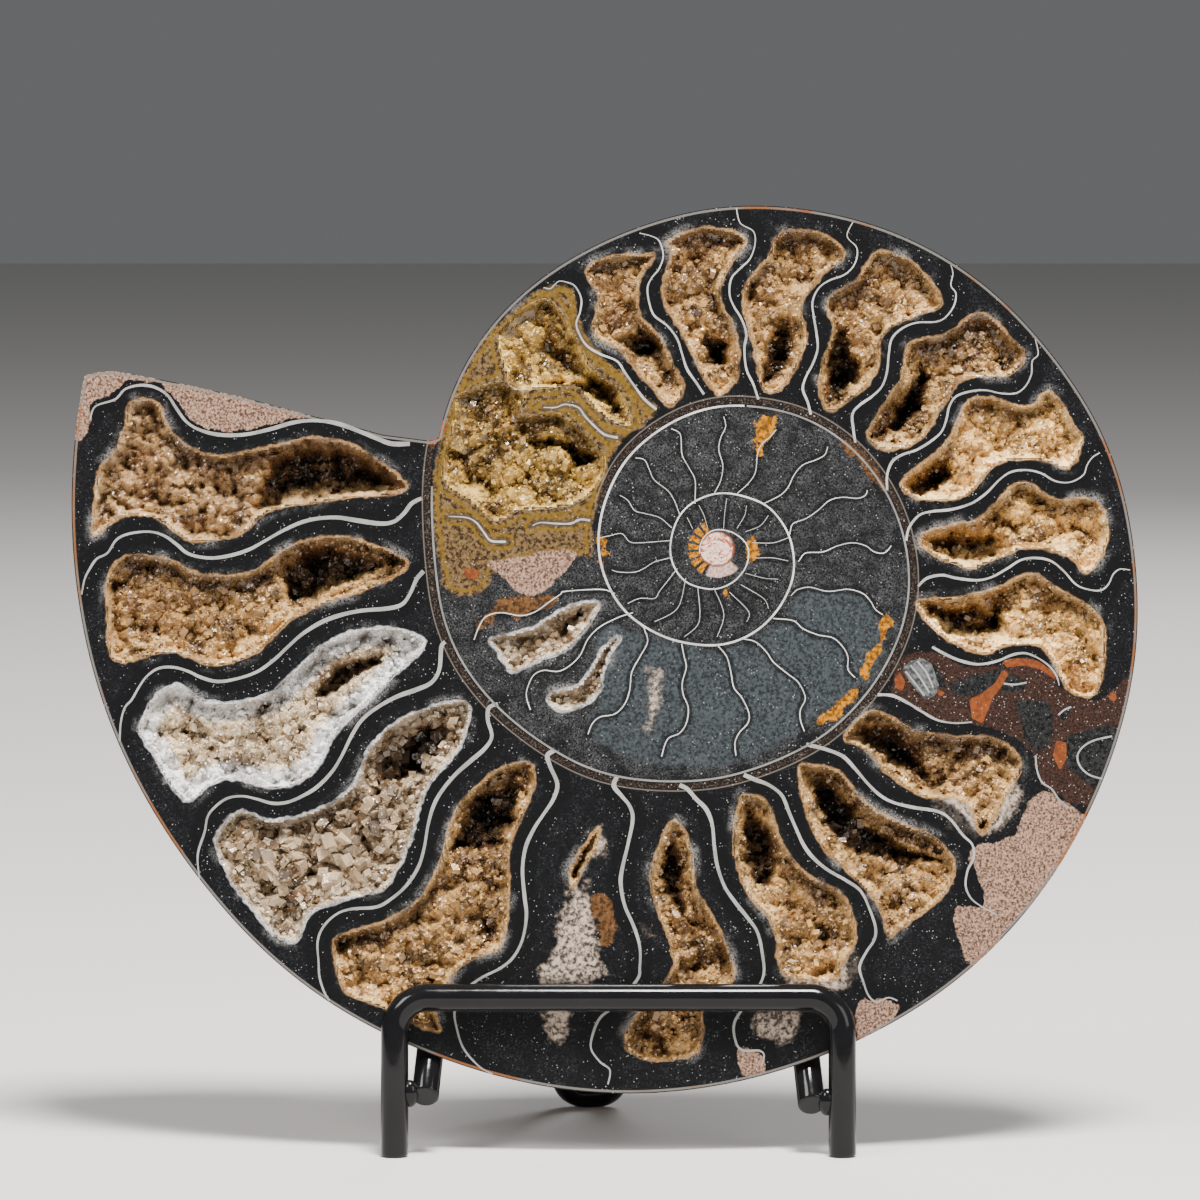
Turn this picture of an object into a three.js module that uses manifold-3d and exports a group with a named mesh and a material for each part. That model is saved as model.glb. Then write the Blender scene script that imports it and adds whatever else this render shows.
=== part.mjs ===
// A large ammonite cut through its middle and polished, standing face forward on a bent wire easel.
// Units are millimetres, +Z is up, and the polished face looks along -Y.
import * as THREE from 'three';
import { mergeVertices } from 'three/addons/utils/BufferGeometryUtils.js';
import Module from 'manifold-3d';

const wasm = await Module();
wasm.setup();

// Fossil sizes
const FOSSIL_WIDTH = 163;
const HALF_THICKNESS = 17;
const EDGE_THICKNESS = 1.2;
const TAPER_WIDTH = 30;
const NAVEL_RADIUS = 11;
const NAVEL_THICKNESS = 7;
const RIB_COUNT = 42;
const RIB_HEIGHT = 1.1;
const LEAN_DEG = 8;
const FACE_CENTRE_ABOVE_BAR = 66.8;
const GAP = 0.3;

// Hollow sizes
const HOLLOW_DEPTH = 8;
const HOLLOW_BACK_WALL = 1.4;
const HOLLOW_LEAST_DEPTH = 0.8;
const HOLLOW_FROM_RIM = 2.6;
const CRUST_SLOPE = 0.85;
const CRUST_DISH_SHARE = 0.5;
const CRYSTAL_SIZE = 3.6;
const CRYSTAL_RELIEF = 1.3;

// Stand sizes
const ROD_DIAMETER = 4.2;
const ROD_SIDES = 10;
const FRONT_HALF_WIDTH = 34;
const FRONT_BAR_HEIGHT = 23.9;
const FRONT_BEND_RADIUS = 5;
const ARM_HALF_WIDTH = 29.4;
const LEFT_ARM_END_HEIGHT = 8.9;
const RIGHT_ARM_END_HEIGHT = 7.6;
const ARM_END_FORWARD = 2;
const ARM_SLOPE_DEG = 37;
const ARM_BEND_BACK = 23;
const SIDE_TOP_HALF_WIDTH = 24;
const SIDE_TOP_HEIGHT = 60;
const SIDE_TOP_BACK = 32.5;
const SIDE_TOP_RADIUS = 4.5;
const REAR_FOOT_BACK = 52;
const REAR_FOOT_HALF_WIDTH = 3.2;
const REAR_FOOT_OFFSET = -4.5;

// The face's outlines were read off a square picture, in pixels from its upper left corner
const RIM_LEFT_PX = 66;
const RIM_RIGHT_PX = 1142;
const SPIRAL_CENTRE_PX = [720, 558];
const STAND_CENTRE_PX = 618.5;
const PX_PER_MM = (RIM_RIGHT_PX - RIM_LEFT_PX) / FOSSIL_WIDTH;
const PX_PER_MM_UP = PX_PER_MM * 0.977;

// The rim's distance from the spiral centre, every 15 degrees from the mouth at 165, down and round to 525
const MOUTH_DEG = 165;
const RIM_STEP_DEG = 15;
const RIM_RADII_PX = [
  665, 652, 638, 615, 598, 570, 548, 523, 500, 483, 464, 446, 434,
  419, 409, 390, 379, 366, 353, 344, 333, 328, 324, 314, 299,
];
const RIM_END_DEG = 518.8;
const UNDER_MOUTH_DEG = 40;

// The mouth's edge: its radius, and how many degrees it has turned from the mouth's outer corner
const MOUTH_EDGE_PX = [
  [665, 0], [560, -2.3], [440, -3.6], [360, -4.9], [307, -6.2],
];
const COLUMN_COUNT = 2 * RIB_COUNT;
const ROW_SHARES = [1, 0.965, 0.91, 0.82, 0.7, 0.56, 0.42, 0.29, 0.17, 0.07];

// Each open chamber's outline on the face
const HOLLOWS_PX = {
  mouth_chamber: [[405, 495], [380, 468], [350, 450], [310, 442], [265, 452], [220, 460], [185, 452], [163, 430],
    [148, 406], [122, 412], [112, 450], [95, 480], [92, 535], [120, 520], [160, 527], [195, 546], [235, 540],
    [270, 515], [330, 505]],
  upper_left: [[405, 565], [375, 550], [335, 540], [290, 548], [255, 572], [200, 578], [160, 562], [120, 560],
    [103, 580], [105, 655], [120, 665], [165, 655], [210, 668], [255, 655], [290, 622], [345, 600], [395, 580]],
  left: [[420, 640], [375, 630], [325, 645], [290, 675], [255, 700], [205, 703], [175, 687], [155, 695],
    [136, 730], [165, 785], [185, 803], [235, 782], [280, 790], [315, 770], [335, 735], [370, 700], [405, 668]],
  lower_left: [[470, 712], [405, 717], [370, 745], [350, 785], [315, 810], [270, 820], [235, 812], [213, 840],
    [225, 875], [255, 915], [295, 940], [310, 912], [385, 887], [408, 845], [425, 790], [458, 750]],
  bottom_left: [[535, 775], [525, 763], [490, 775], [455, 810], [440, 855], [420, 895], [380, 920], [335, 935],
    [345, 990], [380, 1005], [437, 1030], [437, 1005], [460, 965], [500, 945], [508, 900], [510, 845]],
  bottom_slit: [[598, 828], [580, 850], [568, 872], [572, 890], [585, 872], [598, 845]],
  bottom: [[675, 820], [658, 848], [650, 885], [662, 920], [672, 950], [665, 985], [625, 1030], [640, 1055],
    [690, 1050], [705, 1005], [735, 975], [722, 930], [697, 885], [692, 845]],
  bottom_right: [[745, 795], [770, 805], [782, 840], [805, 870], [845, 895], [858, 935], [843, 975],
    [800, 978], [780, 965], [775, 925], [748, 893], [735, 850]],
  lower_right: [[805, 765], [840, 772], [865, 800], [900, 822], [940, 838], [958, 870], [940, 900], [890, 935],
    [880, 905], [850, 872], [825, 850], [808, 815]],
  right_low: [[845, 738], [875, 712], [915, 730], [960, 738], [1000, 740], [1025, 765], [1010, 795],
    [985, 835], [965, 803], [925, 797], [890, 775]],
  right: [[922, 602], [960, 600], [1000, 590], [1035, 577], [1065, 593], [1100, 620], [1105, 665], [1092, 695],
    [1070, 690], [1045, 650], [985, 657], [945, 640]],
  right_middle: [[922, 540], [960, 528], [985, 522], [1010, 495], [1030, 488], [1060, 503], [1098, 508],
    [1105, 545], [1090, 575], [1030, 553], [970, 573]],
  right_high: [[903, 488], [930, 465], [955, 440], [970, 408], [990, 402], [1030, 412], [1055, 397], [1078, 430],
    [1085, 447], [1070, 472], [1000, 470], [970, 500], [912, 500]],
  upper_right: [[870, 440], [885, 412], [903, 385], [912, 350], [950, 340], [985, 325], [1015, 348],
    [1028, 362], [1012, 382], [970, 385], [945, 412], [925, 445], [885, 455]],
  top_right: [[828, 415], [822, 380], [835, 340], [830, 305], [860, 285], [882, 262], [920, 275], [945, 310],
    [888, 340], [878, 380], [850, 408]],
  top_middle: [[765, 395], [755, 355], [745, 300], [768, 265], [785, 240], [825, 242], [845, 262], [805, 310],
    [808, 350], [785, 392]],
  top: [[715, 398], [697, 370], [680, 335], [662, 300], [672, 262], [675, 247], [710, 240], [745, 248],
    [722, 305], [738, 340], [740, 380]],
  top_left: [[670, 412], [645, 385], [620, 358], [592, 340], [598, 305], [590, 280], [605, 268], [645, 262],
    [640, 320], [662, 345], [685, 393]],
  ochre_high: [[500, 335], [545, 306], [572, 335], [590, 370], [620, 395], [630, 428], [600, 420], [575, 393],
    [515, 390]],
  ochre_low: [[455, 405], [500, 390], [520, 420], [560, 420], [603, 460], [590, 500], [555, 513], [495, 525],
    [465, 505], [442, 480]],
  inner_left: [[495, 638], [530, 632], [562, 612], [598, 610], [570, 650], [540, 660], [512, 672]],
  inner_low: [[620, 642], [605, 670], [598, 698], [562, 714], [552, 697], [580, 685], [605, 650]],
};

const rad = THREE.MathUtils.degToRad;
const clamp = THREE.MathUtils.clamp;

function ontoFace([across, down]) {
  return new THREE.Vector2(
    (across - SPIRAL_CENTRE_PX[0]) / PX_PER_MM,
    (SPIRAL_CENTRE_PX[1] - down) / PX_PER_MM_UP,
  );
}

const rimSpline = new THREE.SplineCurve(
  RIM_RADII_PX.map((radius, index) => new THREE.Vector2(MOUTH_DEG + index * RIM_STEP_DEG, radius)),
);

function rimRadius(turnDeg) {
  const share = (turnDeg - MOUTH_DEG) / (RIM_STEP_DEG * (RIM_RADII_PX.length - 1));
  return rimSpline.getPoint(clamp(share, 0, 1)).y;
}

function mouthTurn(radius) {
  for (let index = 1; index < MOUTH_EDGE_PX.length; index += 1) {
    const [outerRadius, outerTurn] = MOUTH_EDGE_PX[index - 1];
    const [innerRadius, innerTurn] = MOUTH_EDGE_PX[index];
    if (radius >= innerRadius) {
      const share = clamp((outerRadius - radius) / (outerRadius - innerRadius), 0, 1);
      return outerTurn + share * (innerTurn - outerTurn);
    }
  }
  return MOUTH_EDGE_PX[MOUTH_EDGE_PX.length - 1][1];
}

// How far the natural back of the shell lies behind the face, for a rim radius and a radius in pixels
function backDepth(rim, radius) {
  const inFromRim = (rim - radius) / PX_PER_MM;
  const whorlThickness = HALF_THICKNESS * (0.35 + 0.65 * (rim / RIM_RADII_PX[0]));
  const rise = Math.sin((Math.PI / 2) * Math.min(inFromRim / TAPER_WIDTH, 1));
  const flank = EDGE_THICKNESS + (whorlThickness - EDGE_THICKNESS) * rise;
  const outOfNavel = THREE.MathUtils.smoothstep(radius / PX_PER_MM, 0, NAVEL_RADIUS);
  return NAVEL_THICKNESS + (flank - NAVEL_THICKNESS) * outOfNavel;
}

// A point's distance from the spiral centre in pixels, and how far round the last whorl it lies
function spiralPlace(point) {
  const across = point.x * PX_PER_MM;
  const up = point.y * PX_PER_MM_UP;
  const radius = Math.hypot(across, up);
  let turn = THREE.MathUtils.radToDeg(Math.atan2(up, across));
  while (turn < MOUTH_DEG + mouthTurn(radius)) {
    turn += 360;
  }
  return { radius, turn };
}

// Near the mouth the whorl inside the last one is the thinner of the two
function depthBehind(point) {
  const { radius, turn } = spiralPlace(point);
  const depth = backDepth(rimRadius(turn), radius);
  const innerRim = RIM_RADII_PX[RIM_RADII_PX.length - 1];
  const underMouth = turn < MOUTH_DEG + UNDER_MOUTH_DEG && radius < innerRim;
  return underMouth ? Math.min(depth, backDepth(innerRim, radius)) : depth;
}

function meshGeometry(positions, triangles) {
  const geometry = new THREE.BufferGeometry();
  geometry.setAttribute('position', new THREE.Float32BufferAttribute(positions, 3));
  geometry.setIndex(triangles);
  return geometry;
}

function toSolid(geometry) {
  const bare = geometry.clone();
  bare.deleteAttribute('normal');
  bare.deleteAttribute('uv');
  const merged = mergeVertices(bare, 1e-4);
  return new wasm.Manifold(new wasm.Mesh({
    numProp: 3,
    vertProperties: merged.attributes.position.array,
    triVerts: new Uint32Array(merged.index.array),
  }));
}

function toGeometry(solid) {
  const mesh = solid.getMesh();
  const geometry = meshGeometry(Array.from(mesh.vertProperties), Array.from(mesh.triVerts));
  geometry.computeVertexNormals();
  return geometry;
}

// Triangles over a flat outline, all turned the same way round
function fillOutline(outline) {
  return THREE.ShapeUtils.triangulateShape(outline, []).map(([a, b, c]) => {
    const ab = outline[b].clone().sub(outline[a]);
    const ac = outline[c].clone().sub(outline[a]);
    return ab.cross(ac) > 0 ? [a, b, c] : [a, c, b];
  });
}

function shellPoint(turnDeg, radius, depth) {
  const turn = rad(turnDeg);
  return [(radius * Math.cos(turn)) / PX_PER_MM, depth, (radius * Math.sin(turn)) / PX_PER_MM_UP];
}

// The whole half shell: flat face, thin rim, ribbed back and the step where the last whorl breaks off
function shellSolid() {
  const positions = [];
  const triangles = [];
  const add = (point) => positions.push(...point) / 3 - 1;
  const face = [];
  const back = [];
  for (let column = 0; column <= COLUMN_COUNT; column += 1) {
    const share = column / COLUMN_COUNT;
    const rimTurn = MOUTH_DEG + share * (RIM_END_DEG - MOUTH_DEG);
    const rim = rimRadius(rimTurn);
    const onRib = column % 2 === 0 && column > 0 && column < COLUMN_COUNT;
    face.push(add(shellPoint(rimTurn, rim, 0)));
    back.push(ROW_SHARES.map((rowShare) => {
      const radius = rim * rowShare;
      const turn = rimTurn + mouthTurn(radius) - mouthTurn(rim);
      const ribRise = RIB_HEIGHT * Math.sin(Math.PI * clamp((rowShare - 0.25) / 0.72, 0, 1));
      return add(shellPoint(turn, radius, backDepth(rim, radius) + (onRib ? ribRise : 0)));
    }));
  }
  const centre = add([0, NAVEL_THICKNESS, 0]);
  const lastRow = ROW_SHARES.length - 1;
  for (let column = 0; column < COLUMN_COUNT; column += 1) {
    const here = back[column];
    const next = back[column + 1];
    triangles.push(face[column], here[0], next[0], face[column], next[0], face[column + 1]);
    for (let row = 0; row < lastRow; row += 1) {
      triangles.push(here[row], here[row + 1], next[row + 1], here[row], next[row + 1], next[row]);
    }
    triangles.push(here[lastRow], centre, next[lastRow]);
  }
  // The broken end of the last whorl stands on the mouth's edge, between the first and last column
  const mouthEdge = MOUTH_EDGE_PX.slice(1, -1).reverse();
  const mouthFace = mouthEdge.map(([radius, turn]) => add(shellPoint(MOUTH_DEG + turn, radius, 0)));
  const wallLoop = [
    face[0], ...back[0], centre, ...back[COLUMN_COUNT].slice().reverse(), face[COLUMN_COUNT], ...mouthFace,
  ];
  const wallOutline = wallLoop.map((index) => {
    const [x, y, z] = positions.slice(index * 3, index * 3 + 3);
    return new THREE.Vector2(Math.hypot(x * PX_PER_MM, z * PX_PER_MM_UP), y);
  });
  fillOutline(wallOutline).forEach(([a, b, c]) => triangles.push(wallLoop[a], wallLoop[c], wallLoop[b]));
  const faceLoop = [...face, ...mouthFace];
  const faceOutline = faceLoop.map((index) => new THREE.Vector2(positions[index * 3], positions[index * 3 + 2]));
  fillOutline(faceOutline).forEach(([a, b, c]) => triangles.push(faceLoop[a], faceLoop[b], faceLoop[c]));
  return toSolid(meshGeometry(positions, triangles));
}

function hollowFloor(point) {
  return clamp(depthBehind(point) - HOLLOW_BACK_WALL, HOLLOW_LEAST_DEPTH, HOLLOW_DEPTH);
}

// Draws a point towards the spiral centre until it is clear of the rim
function keepInsideRim(point) {
  const { radius, turn } = spiralPlace(point);
  const most = rimRadius(turn) - HOLLOW_FROM_RIM * PX_PER_MM;
  return radius > most ? point.clone().multiplyScalar(most / radius) : point;
}

function insetOutline(outline, distance) {
  const count = outline.length;
  const inwards = THREE.ShapeUtils.area(outline) > 0 ? 1 : -1;
  return outline.map((point, index) => {
    const before = point.clone().sub(outline[(index + count - 1) % count]).normalize();
    const after = outline[(index + 1) % count].clone().sub(point).normalize();
    const side = new THREE.Vector2(-(before.y + after.y), before.x + after.x).normalize();
    const spread = Math.max(0.5, side.dot(new THREE.Vector2(-after.y, after.x)));
    return point.clone().addScaledVector(side, (inwards * distance) / spread);
  });
}

// A plug through the face, down to the depth that each point of its outline has there
function plugSolid(outline, frontDepth, depthAt) {
  const shape = new THREE.Shape(outline.map((point) => new THREE.Vector2(point.x, -point.y)));
  const geometry = new THREE.ExtrudeGeometry(shape, { depth: 1, steps: 1, bevelEnabled: false });
  geometry.rotateX(-Math.PI / 2);
  const places = geometry.attributes.position;
  for (let index = 0; index < places.count; index += 1) {
    const point = new THREE.Vector2(places.getX(index), places.getZ(index));
    places.setY(index, places.getY(index) > 0.5 ? depthAt(point) : frontDepth);
  }
  return toSolid(geometry);
}

function distanceInside(point, outline) {
  let nearest = Infinity;
  let inside = false;
  outline.forEach((end, index) => {
    const start = outline[(index + outline.length - 1) % outline.length];
    const along = end.clone().sub(start);
    const share = clamp(point.clone().sub(start).dot(along) / along.lengthSq(), 0, 1);
    nearest = Math.min(nearest, start.clone().addScaledVector(along, share).distanceTo(point));
    const crosses = (end.y > point.y) !== (start.y > point.y);
    if (crosses && point.x < start.x + (along.x * (point.y - start.y)) / along.y) {
      inside = !inside;
    }
  });
  return inside ? nearest : -nearest;
}

// A steady scatter from 0 to 1 for a place on the face
function scatter(x, z, salt) {
  const wave = Math.sin(x * 12.9898 + z * 78.233 + salt * 37.719) * 43758.5453;
  return wave - Math.floor(wave);
}

// What is taken out of a plug to leave its crust: a dish with flat crystal faces
function dishSolid(outline) {
  const box = new THREE.Box2().setFromPoints(outline).expandByScalar(1.5);
  const size = box.getSize(new THREE.Vector2());
  const middle = box.getCenter(new THREE.Vector2());
  const cells = [Math.ceil(size.x / CRYSTAL_SIZE), Math.ceil(size.y / CRYSTAL_SIZE)];
  const geometry = new THREE.BoxGeometry(size.x, 2, size.y, cells[0], 1, cells[1]);
  geometry.translate(middle.x, -2, middle.y);
  const places = geometry.attributes.position;
  for (let index = 0; index < places.count; index += 1) {
    if (places.getY(index) < -1.5) {
      places.setY(index, -4);
    } else {
      const x = places.getX(index);
      const z = places.getZ(index);
      const point = new THREE.Vector2(x, z);
      const inside = distanceInside(point, outline);
      const deepest = hollowFloor(point) * CRUST_DISH_SHARE;
      const crystal = (scatter(x, z, 1) - 0.5) * CRYSTAL_RELIEF * clamp(inside, 0, 1);
      places.setY(index, inside > 0 ? Math.min(inside * CRUST_SLOPE, deepest) + crystal * 0.7 : inside * 0.6);
    }
  }
  return toSolid(geometry);
}

// A rod through its stations, with a ring of the rod's section at each of them
class RodPath extends THREE.Curve {
  constructor(stations) {
    super();
    this.stations = stations;
  }

  getPoint(share) {
    const place = clamp(share, 0, 1) * (this.stations.length - 1);
    const first = Math.min(Math.floor(place), this.stations.length - 2);
    return this.stations[first].clone().lerp(this.stations[first + 1], place - first);
  }

  getPointAt(share) {
    return this.getPoint(share);
  }

  getTangentAt(share) {
    return this.getTangent(share);
  }
}

// Rounds each corner of a run of points to its own bend radius: [point, radius] pairs
function bentStations(corners, bendSteps) {
  const stations = [];
  corners.forEach(([corner, radius], index) => {
    if (!radius) {
      stations.push(corner);
      return;
    }
    const toBefore = corners[index - 1][0].clone().sub(corner).normalize();
    const toAfter = corners[index + 1][0].clone().sub(corner).normalize();
    const halfAngle = toBefore.angleTo(toAfter) / 2;
    const centre = toBefore.clone().add(toAfter).normalize().multiplyScalar(radius / Math.sin(halfAngle)).add(corner);
    const start = toBefore.clone().multiplyScalar(radius / Math.tan(halfAngle)).add(corner).sub(centre);
    const end = toAfter.clone().multiplyScalar(radius / Math.tan(halfAngle)).add(corner).sub(centre);
    const sweep = start.angleTo(end);
    for (let step = 0; step <= bendSteps; step += 1) {
      const share = step / bendSteps;
      const spoke = start.clone().multiplyScalar(Math.sin((1 - share) * sweep))
        .addScaledVector(end, Math.sin(share * sweep)).divideScalar(Math.sin(sweep));
      stations.push(centre.clone().add(spoke));
    }
  });
  return stations;
}

function rodGeometry(corners, bendSteps) {
  const section = new THREE.Shape();
  for (let side = 0; side < ROD_SIDES; side += 1) {
    const angle = ((side + 0.5) / ROD_SIDES) * Math.PI * 2;
    const reach = ROD_DIAMETER / 2;
    const method = side ? 'lineTo' : 'moveTo';
    section[method](reach * Math.cos(angle), reach * Math.sin(angle));
  }
  const stations = bentStations(corners, bendSteps);
  return new THREE.ExtrudeGeometry(section, {
    steps: stations.length - 1, extrudePath: new RodPath(stations), bevelEnabled: false,
  });
}

const at = (x, y, z) => new THREE.Vector3(x, y, z);

// The front rod leans with the face, and its two ends are cut flat where they stand
function frontFrameGeometry() {
  const footBelow = 2;
  const footForward = (FRONT_BAR_HEIGHT + footBelow) * Math.tan(rad(LEAN_DEG));
  const rod = rodGeometry([
    [at(-FRONT_HALF_WIDTH, -footForward, -footBelow), 0],
    [at(-FRONT_HALF_WIDTH, 0, FRONT_BAR_HEIGHT), FRONT_BEND_RADIUS],
    [at(FRONT_HALF_WIDTH, 0, FRONT_BAR_HEIGHT), FRONT_BEND_RADIUS],
    [at(FRONT_HALF_WIDTH, -footForward, -footBelow), 0],
  ], 5);
  return toGeometry(toSolid(rod).trimByPlane([0, 0, 1], 0));
}

function backFrameGeometry() {
  const rise = (ARM_BEND_BACK + ARM_END_FORWARD) * Math.tan(rad(ARM_SLOPE_DEG));
  const footHeight = ROD_DIAMETER / 2;
  const side = (sign, endHeight) => [
    [at(sign * ARM_HALF_WIDTH, -ARM_END_FORWARD, endHeight), 0],
    [at(sign * (ARM_HALF_WIDTH - 2), ARM_BEND_BACK, endHeight + rise), 6],
    [at(sign * SIDE_TOP_HALF_WIDTH, SIDE_TOP_BACK - SIDE_TOP_RADIUS, SIDE_TOP_HEIGHT), SIDE_TOP_RADIUS * 0.95],
    [at(sign * (SIDE_TOP_HALF_WIDTH - 1), SIDE_TOP_BACK + SIDE_TOP_RADIUS, SIDE_TOP_HEIGHT), SIDE_TOP_RADIUS * 0.95],
    [at(REAR_FOOT_OFFSET + sign * REAR_FOOT_HALF_WIDTH, REAR_FOOT_BACK, footHeight), REAR_FOOT_HALF_WIDTH * 0.9],
  ];
  return toGeometry(toSolid(rodGeometry([
    ...side(-1, LEFT_ARM_END_HEIGHT), ...side(1, RIGHT_ARM_END_HEIGHT).reverse(),
  ], 4)));
}

const stone = new THREE.MeshStandardMaterial({ color: 0x2a211c, roughness: 0.15, metalness: 0 });
const crystal = new THREE.MeshStandardMaterial({ color: 0xb98d55, roughness: 0.4, metalness: 0 });
const lacquer = new THREE.MeshStandardMaterial({ color: 0x0a0a0a, roughness: 0.15, metalness: 0.2 });

function named(name, geometry, material) {
  const mesh = new THREE.Mesh(geometry, material);
  mesh.name = name;
  return mesh;
}

// The fossil leans back in the stand, with the spiral centre as its own origin
const fossil = new THREE.Group();
const faceAtBar = (ROD_DIAMETER / 2 + GAP) / Math.cos(rad(LEAN_DEG));
fossil.position.set(
  (SPIRAL_CENTRE_PX[0] - STAND_CENTRE_PX) / PX_PER_MM,
  faceAtBar + FACE_CENTRE_ABOVE_BAR * Math.tan(rad(LEAN_DEG)),
  FRONT_BAR_HEIGHT + FACE_CENTRE_ABOVE_BAR,
);
fossil.rotation.x = -rad(LEAN_DEG);

let shell = shellSolid();
Object.values(HOLLOWS_PX).forEach((outlinePx, index) => {
  const outline = outlinePx.map((pixel) => keepInsideRim(ontoFace(pixel)));
  const hollow = plugSolid(outline, -1, hollowFloor);
  shell = shell.subtract(hollow);
  const crustOutline = insetOutline(outline, GAP);
  const crust = plugSolid(crustOutline, 0, () => HOLLOW_DEPTH + 1)
    .intersect(hollow.translate([0, -GAP, 0]))
    .subtract(dishSolid(crustOutline));
  const name = `crystal_lining_${String(index + 1).padStart(2, '0')}`;
  fossil.add(named(name, toGeometry(crust), crystal));
});
fossil.add(named('ammonite', toGeometry(shell), stone));

const object = new THREE.Group();
object.add(fossil);
object.add(named('front_frame', frontFrameGeometry(), lacquer));
object.add(named('back_frame', backFrameGeometry(), lacquer));

// The origin is the middle of the whole thing's footprint, on the surface that it stands on
object.updateMatrixWorld(true);
const box = new THREE.Box3().setFromObject(object, true);
object.position.set(-(box.min.x + box.max.x) / 2, -(box.min.y + box.max.y) / 2, -box.min.z);

export default object;
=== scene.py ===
"""The looks of a cut and polished ammonite half on its bent black wire stand.

Lengths inside the fossil are millimetres on its polished face, measured from the spiral's centre:
across to the right, up along the face, and depth behind it. FaceFrame turns them into the row's metres.
"""

import logging
import math
from dataclasses import dataclass, field
from enum import Enum

import bmesh
import bpy
import numpy as np
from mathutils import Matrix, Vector


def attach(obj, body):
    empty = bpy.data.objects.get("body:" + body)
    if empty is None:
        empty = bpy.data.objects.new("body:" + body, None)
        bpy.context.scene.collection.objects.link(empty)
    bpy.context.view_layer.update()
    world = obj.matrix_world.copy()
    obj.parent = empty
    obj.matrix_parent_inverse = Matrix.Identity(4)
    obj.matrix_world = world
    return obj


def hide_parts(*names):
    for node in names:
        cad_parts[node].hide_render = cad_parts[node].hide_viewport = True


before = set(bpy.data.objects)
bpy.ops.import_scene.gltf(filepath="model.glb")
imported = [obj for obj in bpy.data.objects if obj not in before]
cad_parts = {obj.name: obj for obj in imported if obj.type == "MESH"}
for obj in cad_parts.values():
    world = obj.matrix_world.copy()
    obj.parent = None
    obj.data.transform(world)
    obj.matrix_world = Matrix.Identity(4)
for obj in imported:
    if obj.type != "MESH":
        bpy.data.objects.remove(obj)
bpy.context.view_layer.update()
LOG = logging.getLogger("ammonite")
BODY = "root"
MM = 0.001

# All places named _PX were read off a square picture, 1200 pixels a side, across and down
FOSSIL_WIDTH_MM = 163.0
RIM_LEFT_PX = 66
RIM_RIGHT_PX = 1142
SPIRAL_CENTRE_PX = (720, 558)
FIRST_CHAMBER_PX = (718, 553)
PX_PER_MM = (RIM_RIGHT_PX - RIM_LEFT_PX) / FOSSIL_WIDTH_MM
# Heights in the picture were taken as this share of the leaning face's own heights
HEIGHT_SHARE = 0.977
PX_PER_MM_UP = PX_PER_MM * HEIGHT_SHARE

# The spiral line's distance from its centre, at angles from the mouth, down and round, ever inwards
SPIRAL_START_DEG = 165
SPIRAL_STEP_DEG = 15
SPIRAL_RADII_PX = (
    665, 652, 638, 615, 598, 570, 548, 523, 500, 483, 464, 446, 434, 419, 409, 390, 379, 366, 353, 344, 333,
    328, 324, 314, 299, 285, 286, 274, 258, 248, 231, 221, 211, 208, 203, 200, 197, 190, 182, 174, 166, 158,
    150, 146, 140, 135, 132, 127, 124, 121, 116, 111, 103, 97, 92, 90, 87, 84, 81, 79, 78, 75, 73, 70, 68,
    63, 61, 60, 58, 57, 55, 52, 50, 49, 47, 45, 42, 38, 36, 34, 32, 31, 30, 30, 30, 30, 30, 28, 26, 25, 24,
    24, 24, 23, 22, 21, 20, 19,
)
RIM_END_DEG = 518.8
# The face's rim lies this far inside the traced line, within the solid that it stands for
RIM_INSET_PX = 0.35
# How far broken crystals push a hollow's edge in and out
RAGGED_MM = 0.22
MOUTH_EDGE_PX = (
    (79, 381), (92, 378), (108, 377), (128, 380), (180, 390), (240, 403), (300, 419), (340, 429),
    (380, 440), (428, 446),
)

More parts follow.
